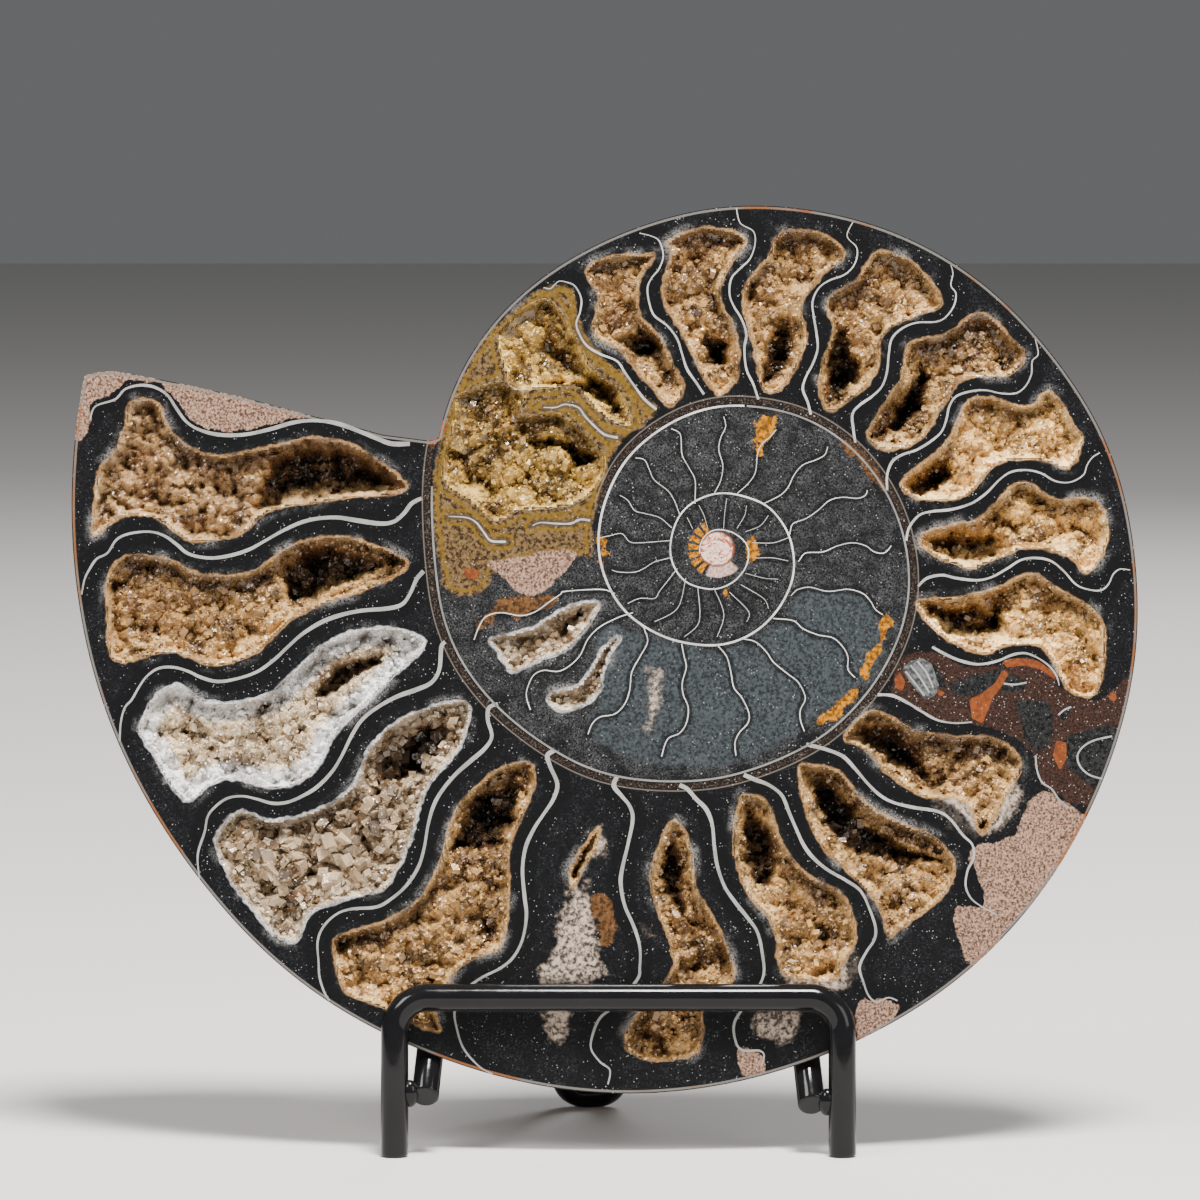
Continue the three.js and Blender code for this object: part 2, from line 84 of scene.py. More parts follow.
# The white walls between chambers, each from the inner end to the rim
OUTER_WALLS_PX = (
    ((408, 449), (390, 449), (375, 444), (350, 434), (330, 428), (310, 426), (290, 428), (265, 435),
     (240, 440), (215, 440), (195, 435), (182, 427), (172, 414), (163, 401), (150, 393), (135, 391),
     (120, 395), (110, 405), (90, 412), (85, 425)),
    ((420, 503), (410, 508), (402, 518), (392, 526), (378, 528), (355, 525), (335, 522), (315, 523),
     (298, 527), (280, 535), (262, 545), (245, 554), (225, 560), (205, 562), (185, 558), (172, 548),
     (160, 540), (145, 536), (125, 538), (112, 544), (103, 557), (92, 563), (85, 573), (80, 583),
     (77, 598)),
    ((422, 575), (415, 583), (408, 598), (400, 608), (385, 612), (360, 614), (340, 618), (320, 625),
     (300, 637), (285, 650), (272, 662), (255, 674), (235, 681), (215, 684), (198, 680), (185, 674),
     (170, 670), (155, 671), (143, 679), (135, 690), (128, 702), (121, 710), (117, 725), (116, 743)),
    ((444, 645), (440, 650), (438, 672), (430, 685), (415, 692), (395, 699), (375, 710), (360, 722),
     (350, 737), (340, 757), (330, 773), (315, 788), (300, 797), (285, 803), (270, 804), (255, 800),
     (240, 797), (225, 799), (213, 807), (205, 817), (202, 832), (196, 850), (195, 862), (197, 878)),
    ((497, 706), (488, 710), (487, 722), (491, 738), (484, 750), (470, 762), (455, 775), (442, 790),
     (433, 805), (427, 825), (423, 848), (417, 867), (405, 885), (390, 898), (375, 906), (350, 908),
     (335, 913), (322, 925), (316, 940), (317, 960), (318, 975), (323, 990), (328, 998)),
    ((554, 752), (547, 757), (550, 768), (557, 785), (553, 800), (543, 815), (533, 830), (525, 848),
     (522, 870), (524, 895), (526, 915), (522, 938), (513, 955), (500, 966), (480, 976), (462, 990),
     (454, 1008), (456, 1025), (463, 1045), (478, 1062), (492, 1070)),
    ((617, 778), (614, 787), (622, 797), (630, 807), (633, 820), (628, 845), (622, 870), (621, 885),
     (625, 905), (634, 925), (640, 945), (640, 965), (637, 978), (613, 1004), (600, 1015), (593, 1030),
     (591, 1045), (600, 1058), (610, 1066), (608, 1080)),
    ((680, 786), (688, 790), (697, 800), (707, 810), (713, 825), (715, 845), (718, 865), (725, 885),
     (735, 900), (748, 916), (758, 930), (763, 950), (764, 975), (748, 1000), (735, 1020), (737, 1040),
     (745, 1047), (760, 1047), (765, 1052), (762, 1062)),
    ((745, 776), (757, 781), (770, 786), (783, 796), (790, 812), (797, 828), (805, 845), (815, 858),
     (830, 870), (848, 880), (862, 890), (870, 905), (877, 925), (876, 938), (868, 950), (861, 965),
     (865, 980), (870, 993), (878, 999), (890, 995), (899, 998)),
    ((808, 746), (828, 751), (845, 758), (857, 770), (870, 785), (882, 796), (895, 803), (915, 808),
     (940, 812), (953, 820), (965, 835), (975, 845), (976, 858), (970, 870), (968, 885), (973, 897),
     (983, 905), (998, 913)),
    ((880, 697), (895, 698), (910, 705), (925, 714), (940, 722), (957, 725), (975, 724)),
    ((935, 650), (950, 658), (965, 664), (982, 667), (1000, 664), (1015, 658), (1028, 656), (1040, 660),
     (1052, 668), (1060, 678), (1063, 688)),
    ((921, 590), (930, 582), (945, 579), (960, 582), (980, 584), (995, 581), (1010, 573), (1025, 564),
     (1040, 562), (1055, 565), (1068, 575), (1080, 588), (1092, 593), (1105, 594), (1113, 588), (1118, 578),
     (1125, 573), (1135, 574)),
    ((909, 545), (912, 532), (922, 520), (935, 516), (955, 514), (975, 508), (990, 498), (1003, 485),
     (1015, 477), (1030, 475), (1045, 478), (1060, 486), (1075, 487), (1088, 480), (1092, 470), (1098, 462),
     (1105, 458)),
    ((890, 495), (890, 480), (895, 467), (905, 460), (920, 455), (935, 446), (945, 437), (950, 425),
     (953, 412), (960, 402), (975, 397), (990, 396), (1005, 399), (1020, 399), (1030, 392), (1036, 380),
     (1037, 367), (1043, 360), (1040, 345)),
    ((858, 448), (856, 435), (855, 420), (862, 411), (875, 402), (885, 392), (890, 378), (892, 360),
     (895, 345), (905, 335), (920, 329), (940, 328), (950, 323), (958, 312), (960, 300), (955, 292),
     (957, 280), (955, 272)),
    ((813, 420), (810, 408), (805, 395), (808, 383), (815, 370), (820, 355), (819, 340), (816, 322),
     (815, 308), (821, 295), (832, 287), (848, 281), (858, 270), (860, 255), (850, 243), (856, 229)),
    ((760, 405), (755, 390), (748, 375), (746, 355), (748, 340), (743, 325), (735, 312), (731, 300),
     (733, 285), (742, 275), (752, 265), (757, 250), (755, 238), (742, 230), (738, 215)),
    ((705, 400), (697, 388), (688, 375), (683, 360), (678, 345), (668, 332), (655, 322), (650, 310),
     (648, 295), (652, 285), (660, 275), (664, 262), (660, 248), (652, 243), (640, 240)),
    ((657, 415), (645, 405), (635, 392), (625, 378), (617, 367), (600, 360), (587, 352), (580, 342),
     (576, 330), (580, 318), (581, 305), (575, 293), (567, 289), (558, 288), (550, 295), (543, 294)),
    ((618, 443), (605, 440), (595, 432), (585, 422), (578, 413), (565, 410), (555, 413), (543, 413)),
    ((590, 525), (580, 524), (570, 528), (555, 528), (540, 527), (532, 530)),
    ((505, 546), (490, 545), (483, 537), (475, 527), (465, 522), (447, 521)),
)
INNER_WALLS_PX = (
    ((612, 596), (600, 593), (565, 595), (560, 598), (548, 606), (535, 615), (520, 619), (500, 616),
     (485, 620), (478, 630), (473, 643)),
    ((630, 617), (618, 621), (600, 630), (588, 642), (580, 658), (570, 668), (558, 674), (543, 673),
     (533, 678), (527, 690), (526, 700), (530, 712)),
    ((645, 633), (648, 645), (640, 660), (632, 675), (630, 692), (625, 706), (615, 716), (600, 719),
     (592, 726), (588, 736)),
    ((683, 650), (685, 660), (687, 670), (683, 685), (684, 697), (689, 710), (687, 725), (680, 735),
     (668, 741), (662, 758)),
    ((720, 650), (728, 660), (732, 675), (735, 690), (743, 700), (750, 715), (749, 725), (740, 735),
     (736, 745), (737, 757)),
    ((745, 642), (757, 645), (768, 655), (775, 665), (790, 677), (800, 685), (807, 700), (802, 712),
     (802, 722), (806, 733)),
    ((778, 622), (795, 624), (805, 632), (820, 638), (835, 641), (845, 650), (850, 660), (850, 672),
     (857, 680)),
    ((795, 597), (800, 593), (812, 591), (830, 595), (850, 593), (865, 597), (873, 605), (878, 613),
     (885, 618)),
    ((802, 563), (808, 557), (825, 556), (840, 550), (855, 547), (868, 550), (877, 556), (887, 557),
     (894, 550)),
    ((792, 536), (795, 528), (808, 523), (820, 515), (832, 505), (845, 502), (860, 503), (868, 500),
     (870, 495)),
    ((768, 507), (782, 500), (790, 492), (796, 480), (805, 470), (818, 465), (827, 460), (830, 452)),
    ((740, 497), (750, 488), (757, 477), (759, 460), (763, 450), (772, 442), (778, 435)),
    ((716, 497), (722, 485), (724, 470), (720, 455), (722, 443), (727, 432), (725, 422)),
    ((696, 505), (696, 485), (690, 473), (683, 460), (682, 445), (680, 438), (672, 434)),
    ((680, 518), (675, 505), (668, 495), (655, 485), (650, 475), (645, 465), (636, 463)),
    ((670, 530), (660, 522), (645, 518), (635, 515), (628, 505), (620, 500)),
    ((668, 545), (655, 546), (640, 547), (630, 546), (622, 538), (610, 540), (600, 542)),
    ((670, 562), (655, 566), (645, 572), (635, 576), (620, 576), (612, 574)),
    ((676, 575), (668, 585), (660, 595), (655, 602), (640, 602), (628, 607)),
    ((686, 585), (678, 612), (655, 625)), ((699, 594), (700, 625), (685, 640)),
    ((716, 594), (725, 618), (718, 640)), ((733, 598), (750, 615), (748, 625)),
    ((745, 590), (765, 602), (770, 612)), ((750, 578), (766, 582), (780, 583)),
    ((760, 562), (775, 562), (790, 565)), ((757, 547), (775, 547), (790, 542)),
    ((750, 535), (762, 530), (770, 520)), ((740, 530), (746, 520), (748, 510)),
    ((725, 530), (726, 517), (728, 503)), ((708, 530), (705, 520), (700, 510)),
    ((692, 530), (690, 526), (688, 522)),
)


class Crust(Enum):
    """The kinds of crystal crust that line the hollows."""

    GOLD = "gold"
    WHITE = "white"
    PEBBLY = "pebbly"
    OCHRE = "ochre"
    CREAM = "cream"
    ROUND = "round"


@dataclass(frozen=True)
class Hollow:
    """One open chamber: its node, its crust, its outline and the deep cave in it, in picture pixels."""

    node: str
    crust: Crust
    outline_px: tuple
    cave_px: tuple = ()


HOLLOWS = (
    Hollow("crystal_lining_01", Crust.ROUND, (
        (405, 495), (380, 468), (350, 450), (310, 442), (265, 452), (220, 460), (185, 452), (163, 430),
        (158, 415), (148, 406), (135, 405), (122, 412), (120, 430), (112, 450), (92, 480), (88, 520),
        (90, 540), (115, 522), (140, 520), (160, 527), (175, 540), (195, 546), (235, 540), (270, 515),
        (330, 505)),
        ((250, 515), (262, 470), (285, 455), (320, 450), (355, 455), (375, 470), (393, 490), (340, 500),
         (270, 510))),
    Hollow("crystal_lining_02", Crust.GOLD, (
        (405, 565), (375, 550), (335, 540), (290, 548), (255, 572), (235, 577), (200, 578), (160, 562),
        (120, 560), (103, 580), (102, 600), (105, 655), (120, 665), (165, 655), (210, 668), (255, 655),
        (290, 622), (345, 600), (395, 580)),
        ((275, 575), (290, 560), (320, 548), (365, 558), (383, 570), (340, 590), (290, 605))),
    Hollow("crystal_lining_03", Crust.WHITE, (
        (420, 640), (375, 630), (325, 645), (290, 675), (255, 700), (205, 703), (175, 687), (155, 695),
        (136, 730), (155, 765), (165, 785), (185, 803), (210, 785), (235, 782), (280, 790), (315, 770),
        (335, 735), (370, 700), (405, 668), (420, 655)),
        ((312, 695), (325, 672), (340, 660), (385, 655), (355, 682), (325, 700))),
    Hollow("crystal_lining_04", Crust.PEBBLY, (
        (470, 712), (455, 703), (405, 717), (370, 745), (350, 785), (315, 810), (270, 820), (235, 812),
        (213, 840), (225, 875), (255, 915), (275, 935), (295, 940), (310, 912), (360, 895), (385, 887),
        (408, 845), (425, 790), (458, 750)),
        ((372, 800), (372, 760), (385, 745), (435, 720), (450, 735), (430, 765), (415, 780), (385, 790))),
    Hollow("crystal_lining_05", Crust.GOLD, (
        (535, 775), (525, 763), (490, 775), (455, 810), (440, 855), (420, 895), (380, 920), (335, 935),
        (332, 955), (345, 990), (380, 1005), (437, 1030), (437, 1005), (460, 965), (500, 945), (508, 900),
        (510, 845), (530, 800)),
        ((453, 835), (475, 795), (515, 780), (522, 795), (500, 845), (455, 850))),
    Hollow("crystal_lining_06", Crust.GOLD, (
        (598, 828), (580, 850), (568, 872), (572, 888), (584, 870), (598, 843)),
        ((592, 838), (578, 858), (572, 878), (584, 862))),
    Hollow("crystal_lining_07", Crust.GOLD, (
        (675, 820), (658, 848), (650, 885), (662, 920), (672, 950), (668, 975), (625, 1030), (640, 1055),
        (690, 1053), (705, 1033), (705, 1005), (735, 975), (722, 930), (697, 885), (692, 845)),
        ((660, 890), (660, 860), (675, 835), (684, 870), (690, 915), (715, 935), (680, 915))),
    Hollow("crystal_lining_08", Crust.GOLD, (
        (745, 795), (770, 805), (782, 840), (805, 870), (845, 895), (858, 935), (843, 965), (838, 978),
        (800, 978), (780, 965), (775, 925), (748, 893), (735, 850), (738, 810)),
        ((746, 805), (765, 820), (778, 850), (772, 890), (745, 865))),
    Hollow("crystal_lining_09", Crust.GOLD, (
        (805, 765), (840, 772), (865, 800), (900, 822), (940, 838), (958, 870), (940, 900), (905, 925),
        (890, 935), (880, 905), (850, 872), (825, 850), (808, 815), (800, 778)),
        ((812, 778), (840, 785), (870, 818), (900, 840), (945, 860), (900, 862), (850, 852), (825, 825))),
    Hollow("crystal_lining_10", Crust.GOLD, (
        (845, 738), (875, 712), (915, 730), (960, 738), (1000, 740), (1025, 765), (1010, 795), (985, 835),
        (965, 803), (925, 797), (890, 775), (865, 750)),
        ((855, 738), (880, 722), (915, 742), (930, 780), (890, 762))),
    Hollow("crystal_lining_11", Crust.CREAM, (
        (922, 602), (960, 600), (1000, 590), (1035, 577), (1065, 593), (1105, 620), (1110, 665),
        (1098, 698), (1070, 690), (1045, 650), (1005, 650), (985, 657), (945, 640), (922, 615)),
        ((930, 610), (950, 606), (1000, 610), (1010, 632), (960, 640))),
    Hollow("crystal_lining_12", Crust.CREAM, (
        (922, 540), (960, 528), (985, 522), (1010, 495), (1030, 488), (1060, 503), (1102, 505), (1112, 545),
        (1092, 578), (1070, 560), (1030, 553), (990, 568), (970, 573), (935, 558)),
        ((930, 545), (960, 534), (1000, 536), (1015, 552), (970, 565))),
    Hollow("crystal_lining_13", Crust.CREAM, (
        (903, 488), (930, 465), (955, 440), (970, 408), (990, 402), (1030, 412), (1055, 397), (1080, 430),
        (1088, 447), (1073, 473), (1040, 465), (1000, 470), (970, 500), (930, 505), (912, 500)),
        ((908, 492), (925, 475), (948, 462), (960, 480), (930, 499))),
    Hollow("crystal_lining_14", Crust.GOLD, (
        (870, 440), (885, 412), (903, 385), (912, 350), (950, 340), (985, 318), (1018, 345), (1030, 362),
        (1014, 382), (970, 385), (945, 412), (925, 445), (885, 455)),
        ((878, 442), (895, 420), (918, 380), (935, 372), (930, 412), (905, 435))),
    Hollow("crystal_lining_15", Crust.GOLD, (
        (828, 415), (822, 380), (835, 340), (830, 305), (860, 285), (880, 258), (920, 270), (946, 310),
        (920, 322), (888, 340), (878, 380), (850, 408)),
        ((830, 405), (830, 350), (845, 330), (852, 350), (868, 372), (850, 398))),
    Hollow("crystal_lining_16", Crust.GOLD, (
        (765, 395), (755, 355), (745, 300), (768, 265), (785, 238), (825, 240), (848, 262), (825, 282),
        (805, 310), (808, 350), (785, 392)),
        ((765, 385), (768, 345), (785, 320), (800, 350), (782, 385))),
    Hollow("crystal_lining_17", Crust.GOLD, (
        (715, 398), (697, 370), (680, 335), (662, 300), (672, 262), (668, 247), (710, 234), (748, 247),
        (730, 275), (722, 305), (738, 340), (740, 380), (725, 399)),
        ((702, 350), (706, 335), (728, 345), (732, 368), (712, 370))),
    Hollow("crystal_lining_18", Crust.GOLD, (
        (670, 412), (645, 385), (620, 358), (592, 340), (598, 305), (585, 280), (600, 265), (645, 260),
        (655, 264), (640, 285), (640, 320), (662, 345), (678, 378), (685, 393)),
        ((612, 342), (650, 338), (668, 352), (640, 362))),
    Hollow("crystal_lining_19", Crust.OCHRE, (
        (500, 332), (545, 305), (572, 335), (590, 370), (620, 395), (632, 430), (600, 420), (575, 393),
        (540, 395), (510, 392), (497, 350)),
        ((548, 386), (600, 384), (618, 402), (622, 418), (600, 408), (565, 391))),
    Hollow("crystal_lining_20", Crust.OCHRE, (
        (455, 402), (500, 387), (525, 400), (520, 420), (560, 420), (605, 460), (590, 500), (555, 513),
        (520, 515), (495, 526), (465, 505), (440, 480), (452, 420)),
        ((520, 448), (550, 440), (600, 460), (575, 470), (560, 452))),
    Hollow("crystal_lining_21", Crust.PEBBLY, (
        (490, 640), (530, 632), (562, 612), (585, 605), (600, 610), (570, 650), (540, 662), (512, 675),
        (495, 652)),
        ((560, 628), (582, 610), (580, 622), (567, 636))),
    Hollow("crystal_lining_22", Crust.PEBBLY, (
        (620, 640), (605, 670), (598, 698), (562, 714), (548, 697), (580, 685), (605, 648)),
        ((612, 655), (600, 675), (590, 692), (600, 668))),
)


class Zone(Enum):
    """Patches of other stone in the polished face; each value is the patch's attribute on the mesh."""

    MUDSTONE = "mudstone"
    OCHRE = "ochre_stone"
    BRECCIA = "breccia"
    ORANGE = "orange_chip"
    BLUE_GREY = "blue_grey"
    GOLD = "gold_patch"
    AMBER = "amber_cloud"
    PALE = "pale_cloud"
    BLACK = "black_chip"
    STRIPED = "striped_chip"


ZONES_PX = {
    Zone.MUDSTONE: (
        ((79, 381), (108, 377), (128, 380), (180, 390), (240, 403), (300, 419), (345, 429), (320, 423),
         (290, 424), (265, 431), (240, 436), (215, 436), (197, 431), (184, 422), (174, 409), (165, 397),
         (151, 388), (135, 386), (119, 390), (106, 400), (88, 408), (82, 440), (70, 440)),
        ((1035, 800), (1050, 793), (1075, 808), (1092, 820), (1075, 850), (1050, 885), (1015, 925),
         (975, 962), (958, 930), (958, 908), (985, 905), (983, 880), (972, 860), (980, 845), (1015, 835)),
        ((860, 1000), (897, 1000), (898, 1012), (862, 1036)),
        ((487, 567), (500, 580), (525, 598), (540, 597), (570, 570), (577, 557), (550, 553), (520, 560)),
        ((740, 1045), (762, 1050), (765, 1068), (742, 1070)),
    ),
    Zone.OCHRE: (
        ((437, 452), (452, 400), (478, 350), (505, 322), (545, 293), (572, 296), (580, 330), (600, 358),
         (640, 396), (655, 418), (618, 452), (600, 500), (592, 530), (590, 560), (560, 560), (500, 572),
         (482, 596), (447, 596), (436, 560), (430, 500)),
    ),
    Zone.BRECCIA: (
        ((905, 660), (940, 655), (965, 668), (1000, 668), (1030, 660), (1055, 672), (1066, 692),
         (1100, 702), (1135, 680), (1133, 720), (1108, 800), (1080, 804), (1060, 795), (1045, 785),
         (1038, 757), (1010, 735), (975, 727), (950, 724), (925, 714), (905, 700), (893, 692)),
    ),
    Zone.ORANGE: (
        ((1005, 664), (1022, 661), (1040, 663), (1055, 672), (1062, 682), (1058, 682), (1045, 672),
         (1028, 668), (1010, 670)),
        ((1006, 672), (1012, 676), (1004, 690), (996, 700), (990, 715), (985, 726), (975, 720), (972, 702),
         (985, 696), (998, 686)), ((896, 682), (902, 674), (908, 684), (905, 694), (898, 690)),
        ((1060, 742), (1070, 744), (1070, 760), (1064, 772), (1056, 758)),
        ((1112, 700), (1117, 693), (1122, 699), (1118, 704)),
        ((462, 572), (478, 574), (476, 584), (464, 581)), ((425, 446), (438, 420), (446, 432), (430, 456)),
        ((940, 690), (948, 696), (942, 700)),
    ),
    Zone.BLUE_GREY: (
        ((600, 632), (650, 640), (720, 655), (780, 628), (805, 595), (850, 597), (885, 620), (885, 660),
         (860, 690), (810, 725), (760, 755), (700, 768), (640, 762), (590, 735), (600, 700)),
    ),
    Zone.STRIPED: (
        ((905, 672), (912, 664), (925, 661), (934, 666), (942, 688), (938, 698), (928, 702), (918, 692),
         (908, 678)),
    ),
    Zone.GOLD: (
        ((762, 424), (778, 422), (774, 440), (764, 460), (758, 458)),
        ((882, 620), (893, 622), (884, 650), (868, 678), (866, 668), (884, 640)),
        ((858, 688), (862, 694), (838, 718), (822, 726), (820, 718), (842, 704)),
        ((600, 545), (608, 548), (605, 572), (601, 572)), ((748, 544), (759, 550), (756, 562), (749, 563)),
        ((722, 592), (732, 592), (731, 597), (724, 597)),
    ),
    Zone.AMBER: (
        ((485, 618), (500, 604), (530, 600), (558, 600), (548, 610), (520, 620), (498, 618), (478, 636),
         (474, 630)), ((846, 440), (872, 462), (890, 490), (884, 494), (862, 466), (842, 446)),
        ((592, 893), (604, 892), (613, 905), (615, 925), (612, 943), (602, 940), (597, 920), (592, 905)),
    ),
    Zone.PALE: (
        ((572, 886), (584, 886), (590, 905), (590, 925), (596, 945), (598, 975), (540, 975), (552, 950),
         (560, 925), (568, 905)), ((598, 824), (605, 838), (604, 850), (597, 853), (594, 846)),
        ((640, 924), (648, 922), (651, 930), (643, 935)),
        ((755, 1012), (780, 1006), (800, 1012), (785, 1036), (760, 1030)),
        ((545, 1004), (568, 1004), (566, 1030), (552, 1036)),
        ((650, 676), (656, 673), (661, 680), (658, 700), (655, 722), (648, 728), (650, 705)),
        ((795, 962), (850, 945), (858, 975), (800, 990)),
        ((1040, 756), (1052, 762), (1062, 774), (1052, 770)),
        ((930, 800), (1000, 770), (1020, 800), (985, 835)),
        ((1098, 758), (1108, 758), (1108, 769), (1098, 769)),
    ),
    Zone.BLACK: (
        ((952, 686), (975, 678), (1000, 672), (1010, 668), (1008, 676), (1000, 688), (985, 696), (960, 699),
         (954, 694)), ((934, 662), (946, 680), (950, 690), (942, 690), (936, 672)),
        ((1018, 703), (1050, 703), (1057, 716), (1056, 735), (1050, 750), (1038, 752), (1028, 742),
         (1024, 720)), ((1012, 676), (1030, 684), (1028, 692), (1008, 696), (1004, 690)),
        ((1062, 715), (1072, 706), (1075, 712), (1066, 724)),
        ((1064, 745), (1072, 738), (1090, 732), (1120, 726), (1122, 740), (1112, 775), (1100, 792),
         (1085, 780), (1072, 770), (1066, 760)),
    ),
}
SHARP_ZONES = (Zone.ORANGE, Zone.BLACK, Zone.STRIPED)

# Grey lines in the broken fragments near the right rim
FRAGMENT_LINES_PX = (
    ((1116, 738), (1098, 742), (1086, 749), (1081, 758), (1084, 768), (1093, 776), (1106, 780)),
    ((1007, 686), (1018, 687), (1030, 685)), ((1062, 717), (1068, 712), (1075, 709)),
    ((1039, 757), (1040, 770), (1045, 783), (1055, 790), (1062, 800), (1072, 808)),
    ((908, 674), (917, 685), (927, 698)), ((913, 668), (922, 679), (932, 695)),
    ((920, 664), (929, 675), (936, 690)),
)


def face_mm(points_px: tuple) -> np.ndarray:
    """Turns picture pixels into millimetres across and up the face.

    Args:
        points_px: pairs of pixels, across and down the picture.

    Returns:
        An array of the same points in millimetres from the spiral's centre.
    """
    points = np.array(points_px, float)
    across = (points[:, 0] - SPIRAL_CENTRE_PX[0]) / PX_PER_MM
    up = (SPIRAL_CENTRE_PX[1] - points[:, 1]) / PX_PER_MM_UP
    return np.stack([across, up], axis=1)


def smooth_line(points: np.ndarray, closed: bool, per_step: int = 6) -> np.ndarray:
    """Runs a smooth curve through points.

    Args:
        points: the points in order.
        closed: whether the last point joins the first.
        per_step: how many new points follow each old one.

    Returns:
        The curve's points.
    """
    count = len(points)
    steps = count if closed else count - 1
    made = []
    for index in range(steps):
        if closed:
            near = [points[(index + shift) % count] for shift in (-1, 0, 1, 2)]
        else:
            near = [points[min(max(index + shift, 0), count - 1)] for shift in (-1, 0, 1, 2)]
        for part in np.arange(per_step) / per_step:
            cubic = -near[0] + 3 * near[1] - 3 * near[2] + near[3]
            square = 2 * near[0] - 5 * near[1] + 4 * near[2] - near[3]
            made.append(near[1] + 0.5 * part * (near[2] - near[0] + part * (square + part * cubic)))
    if not closed:
        made.append(points[-1])
    return np.array(made)


def nearest_on(points: np.ndarray, line: np.ndarray, closed: bool) -> tuple[np.ndarray, np.ndarray]:
    """Finds each point's nearest place on a line.

    Args:
        points: the points to measure from.
        line: the line's points in order.
        closed: whether the line is a closed outline.

    Returns:
        The distances, positive inside a closed outline and negative outside it, and the nearest places.
    """
    best = np.full(len(points), np.inf)
    place = np.zeros((len(points), 2))
    inside = np.zeros(len(points), bool)
    ends = np.roll(line, -1, axis=0) if closed else line[1:]
    for start, end in zip(line, ends):
        along = end - start
        length = max(float(along @ along), 1e-12)
        share = np.clip((points - start) @ along / length, 0, 1)
        foot = start + share[:, None] * along
        gap = np.hypot(*(points - foot).T)
        closer = gap < best
        best[closer] = gap[closer]
        place[closer] = foot[closer]
        if closed and end[1] != start[1]:
            crosses = (start[1] > points[:, 1]) != (end[1] > points[:, 1])
            left = points[:, 0] < start[0] + along[0] * (points[:, 1] - start[1]) / along[1]
            inside ^= crosses & left
    if closed:
        best = np.where(inside, best, -best)
    return best, place


def reach_of(points: np.ndarray, line: np.ndarray, closed: bool, margin: float) -> np.ndarray:
    """Measures distances to a line, only for the points near it.

    Args:
        points: the points to measure from.
        line: the line's points.
        closed: whether the line is a closed outline.
        margin: how far round the line is measured, in millimetres.

    Returns:
        The distances; points out of reach get plus or minus the margin.
    """
    out = np.full(len(points), -margin if closed else margin)
    low = line.min(axis=0) - margin
    high = line.max(axis=0) + margin
    near = np.all((points > low) & (points < high), axis=1)
    if near.any():
        out[near] = nearest_on(points[near], line, closed)[0]
    return out


def scattered(cells: np.ndarray, salt: float) -> np.ndarray:
    """Gives each cell of a pattern its own steady number from 0 to 1."""
    wave = np.sin(cells[:, 0] * 127.1 + cells[:, 1] * 311.7 + salt * 74.7) * 43758.5453
    return wave - np.floor(wave)


def crystal_relief(points: np.ndarray, size: float, salt: float, tilt: float) -> tuple:
    """Covers a plane with crystals or, with no tilt, with round lumps.

    Args:
        points: places on the plane in millimetres.
        size: the crystals' width in millimetres.
        salt: a number that sets this pattern apart from the others.
        tilt: how steeply each crystal's flat face leans, from 0 to 1.

    Returns:
        The relief's height from about 0 to 1, and a number from 0 to 1 for each place's own crystal.
    """
    scaled = points / size
    base = np.floor(scaled)
    nearest = np.full(len(points), 9.0)
    height = np.zeros(len(points))
    own = np.zeros(len(points))
    for step_x in (-1, 0, 1):
        for step_y in (-1, 0, 1):
            cell = base + (step_x, step_y)
            heart = cell + np.stack([scattered(cell, salt), scattered(cell, salt + 1)], axis=1)
            offset = scaled - heart
            gap = np.hypot(offset[:, 0], offset[:, 1])
            closer = gap < nearest
            nearest[closer] = gap[closer]
            turn = scattered(cell, salt + 2) * 2 * math.pi
            lean = offset[:, 0] * np.cos(turn) + offset[:, 1] * np.sin(turn)
            flat = 0.35 + 0.4 * scattered(cell, salt + 3) + lean * tilt
            dome = 1 - np.minimum(gap, 1) ** 2
            height[closer] = (flat * tilt + dome * (1 - tilt))[closer]
            own[closer] = scattered(cell, salt + 4)[closer]
    return height, own


def smoothstep(value: np.ndarray, low: float, high: float) -> np.ndarray:
    """Rises softly from 0 at low to 1 at high."""
    share = np.clip((value - low) / (high - low), 0, 1)
    return share * share * (3 - 2 * share)


@dataclass(frozen=True)
class FaceFrame:
    """Where the spiral's centre stands in the row, and how far the polished face leans back."""

    place_mm: tuple = (17.535, -12.498, 90.7)
    lean_deg: float = 8.0

    def row(self, across: np.ndarray, up: np.ndarray, depth: np.ndarray) -> np.ndarray:
        """Places points of the fossil in the row.

        Args:
            across: millimetres to the right of the spiral's centre.
            up: millimetres up the face.
            depth: millimetres behind the face.

        Returns:
            The points in metres, one in each row of the array.
        """
        lean = math.radians(self.lean_deg)
        back = depth * math.cos(lean) + up * math.sin(lean)
        high = up * math.cos(lean) - depth * math.sin(lean)
        return (np.stack([across, back, high], axis=1) + self.place_mm) * MM


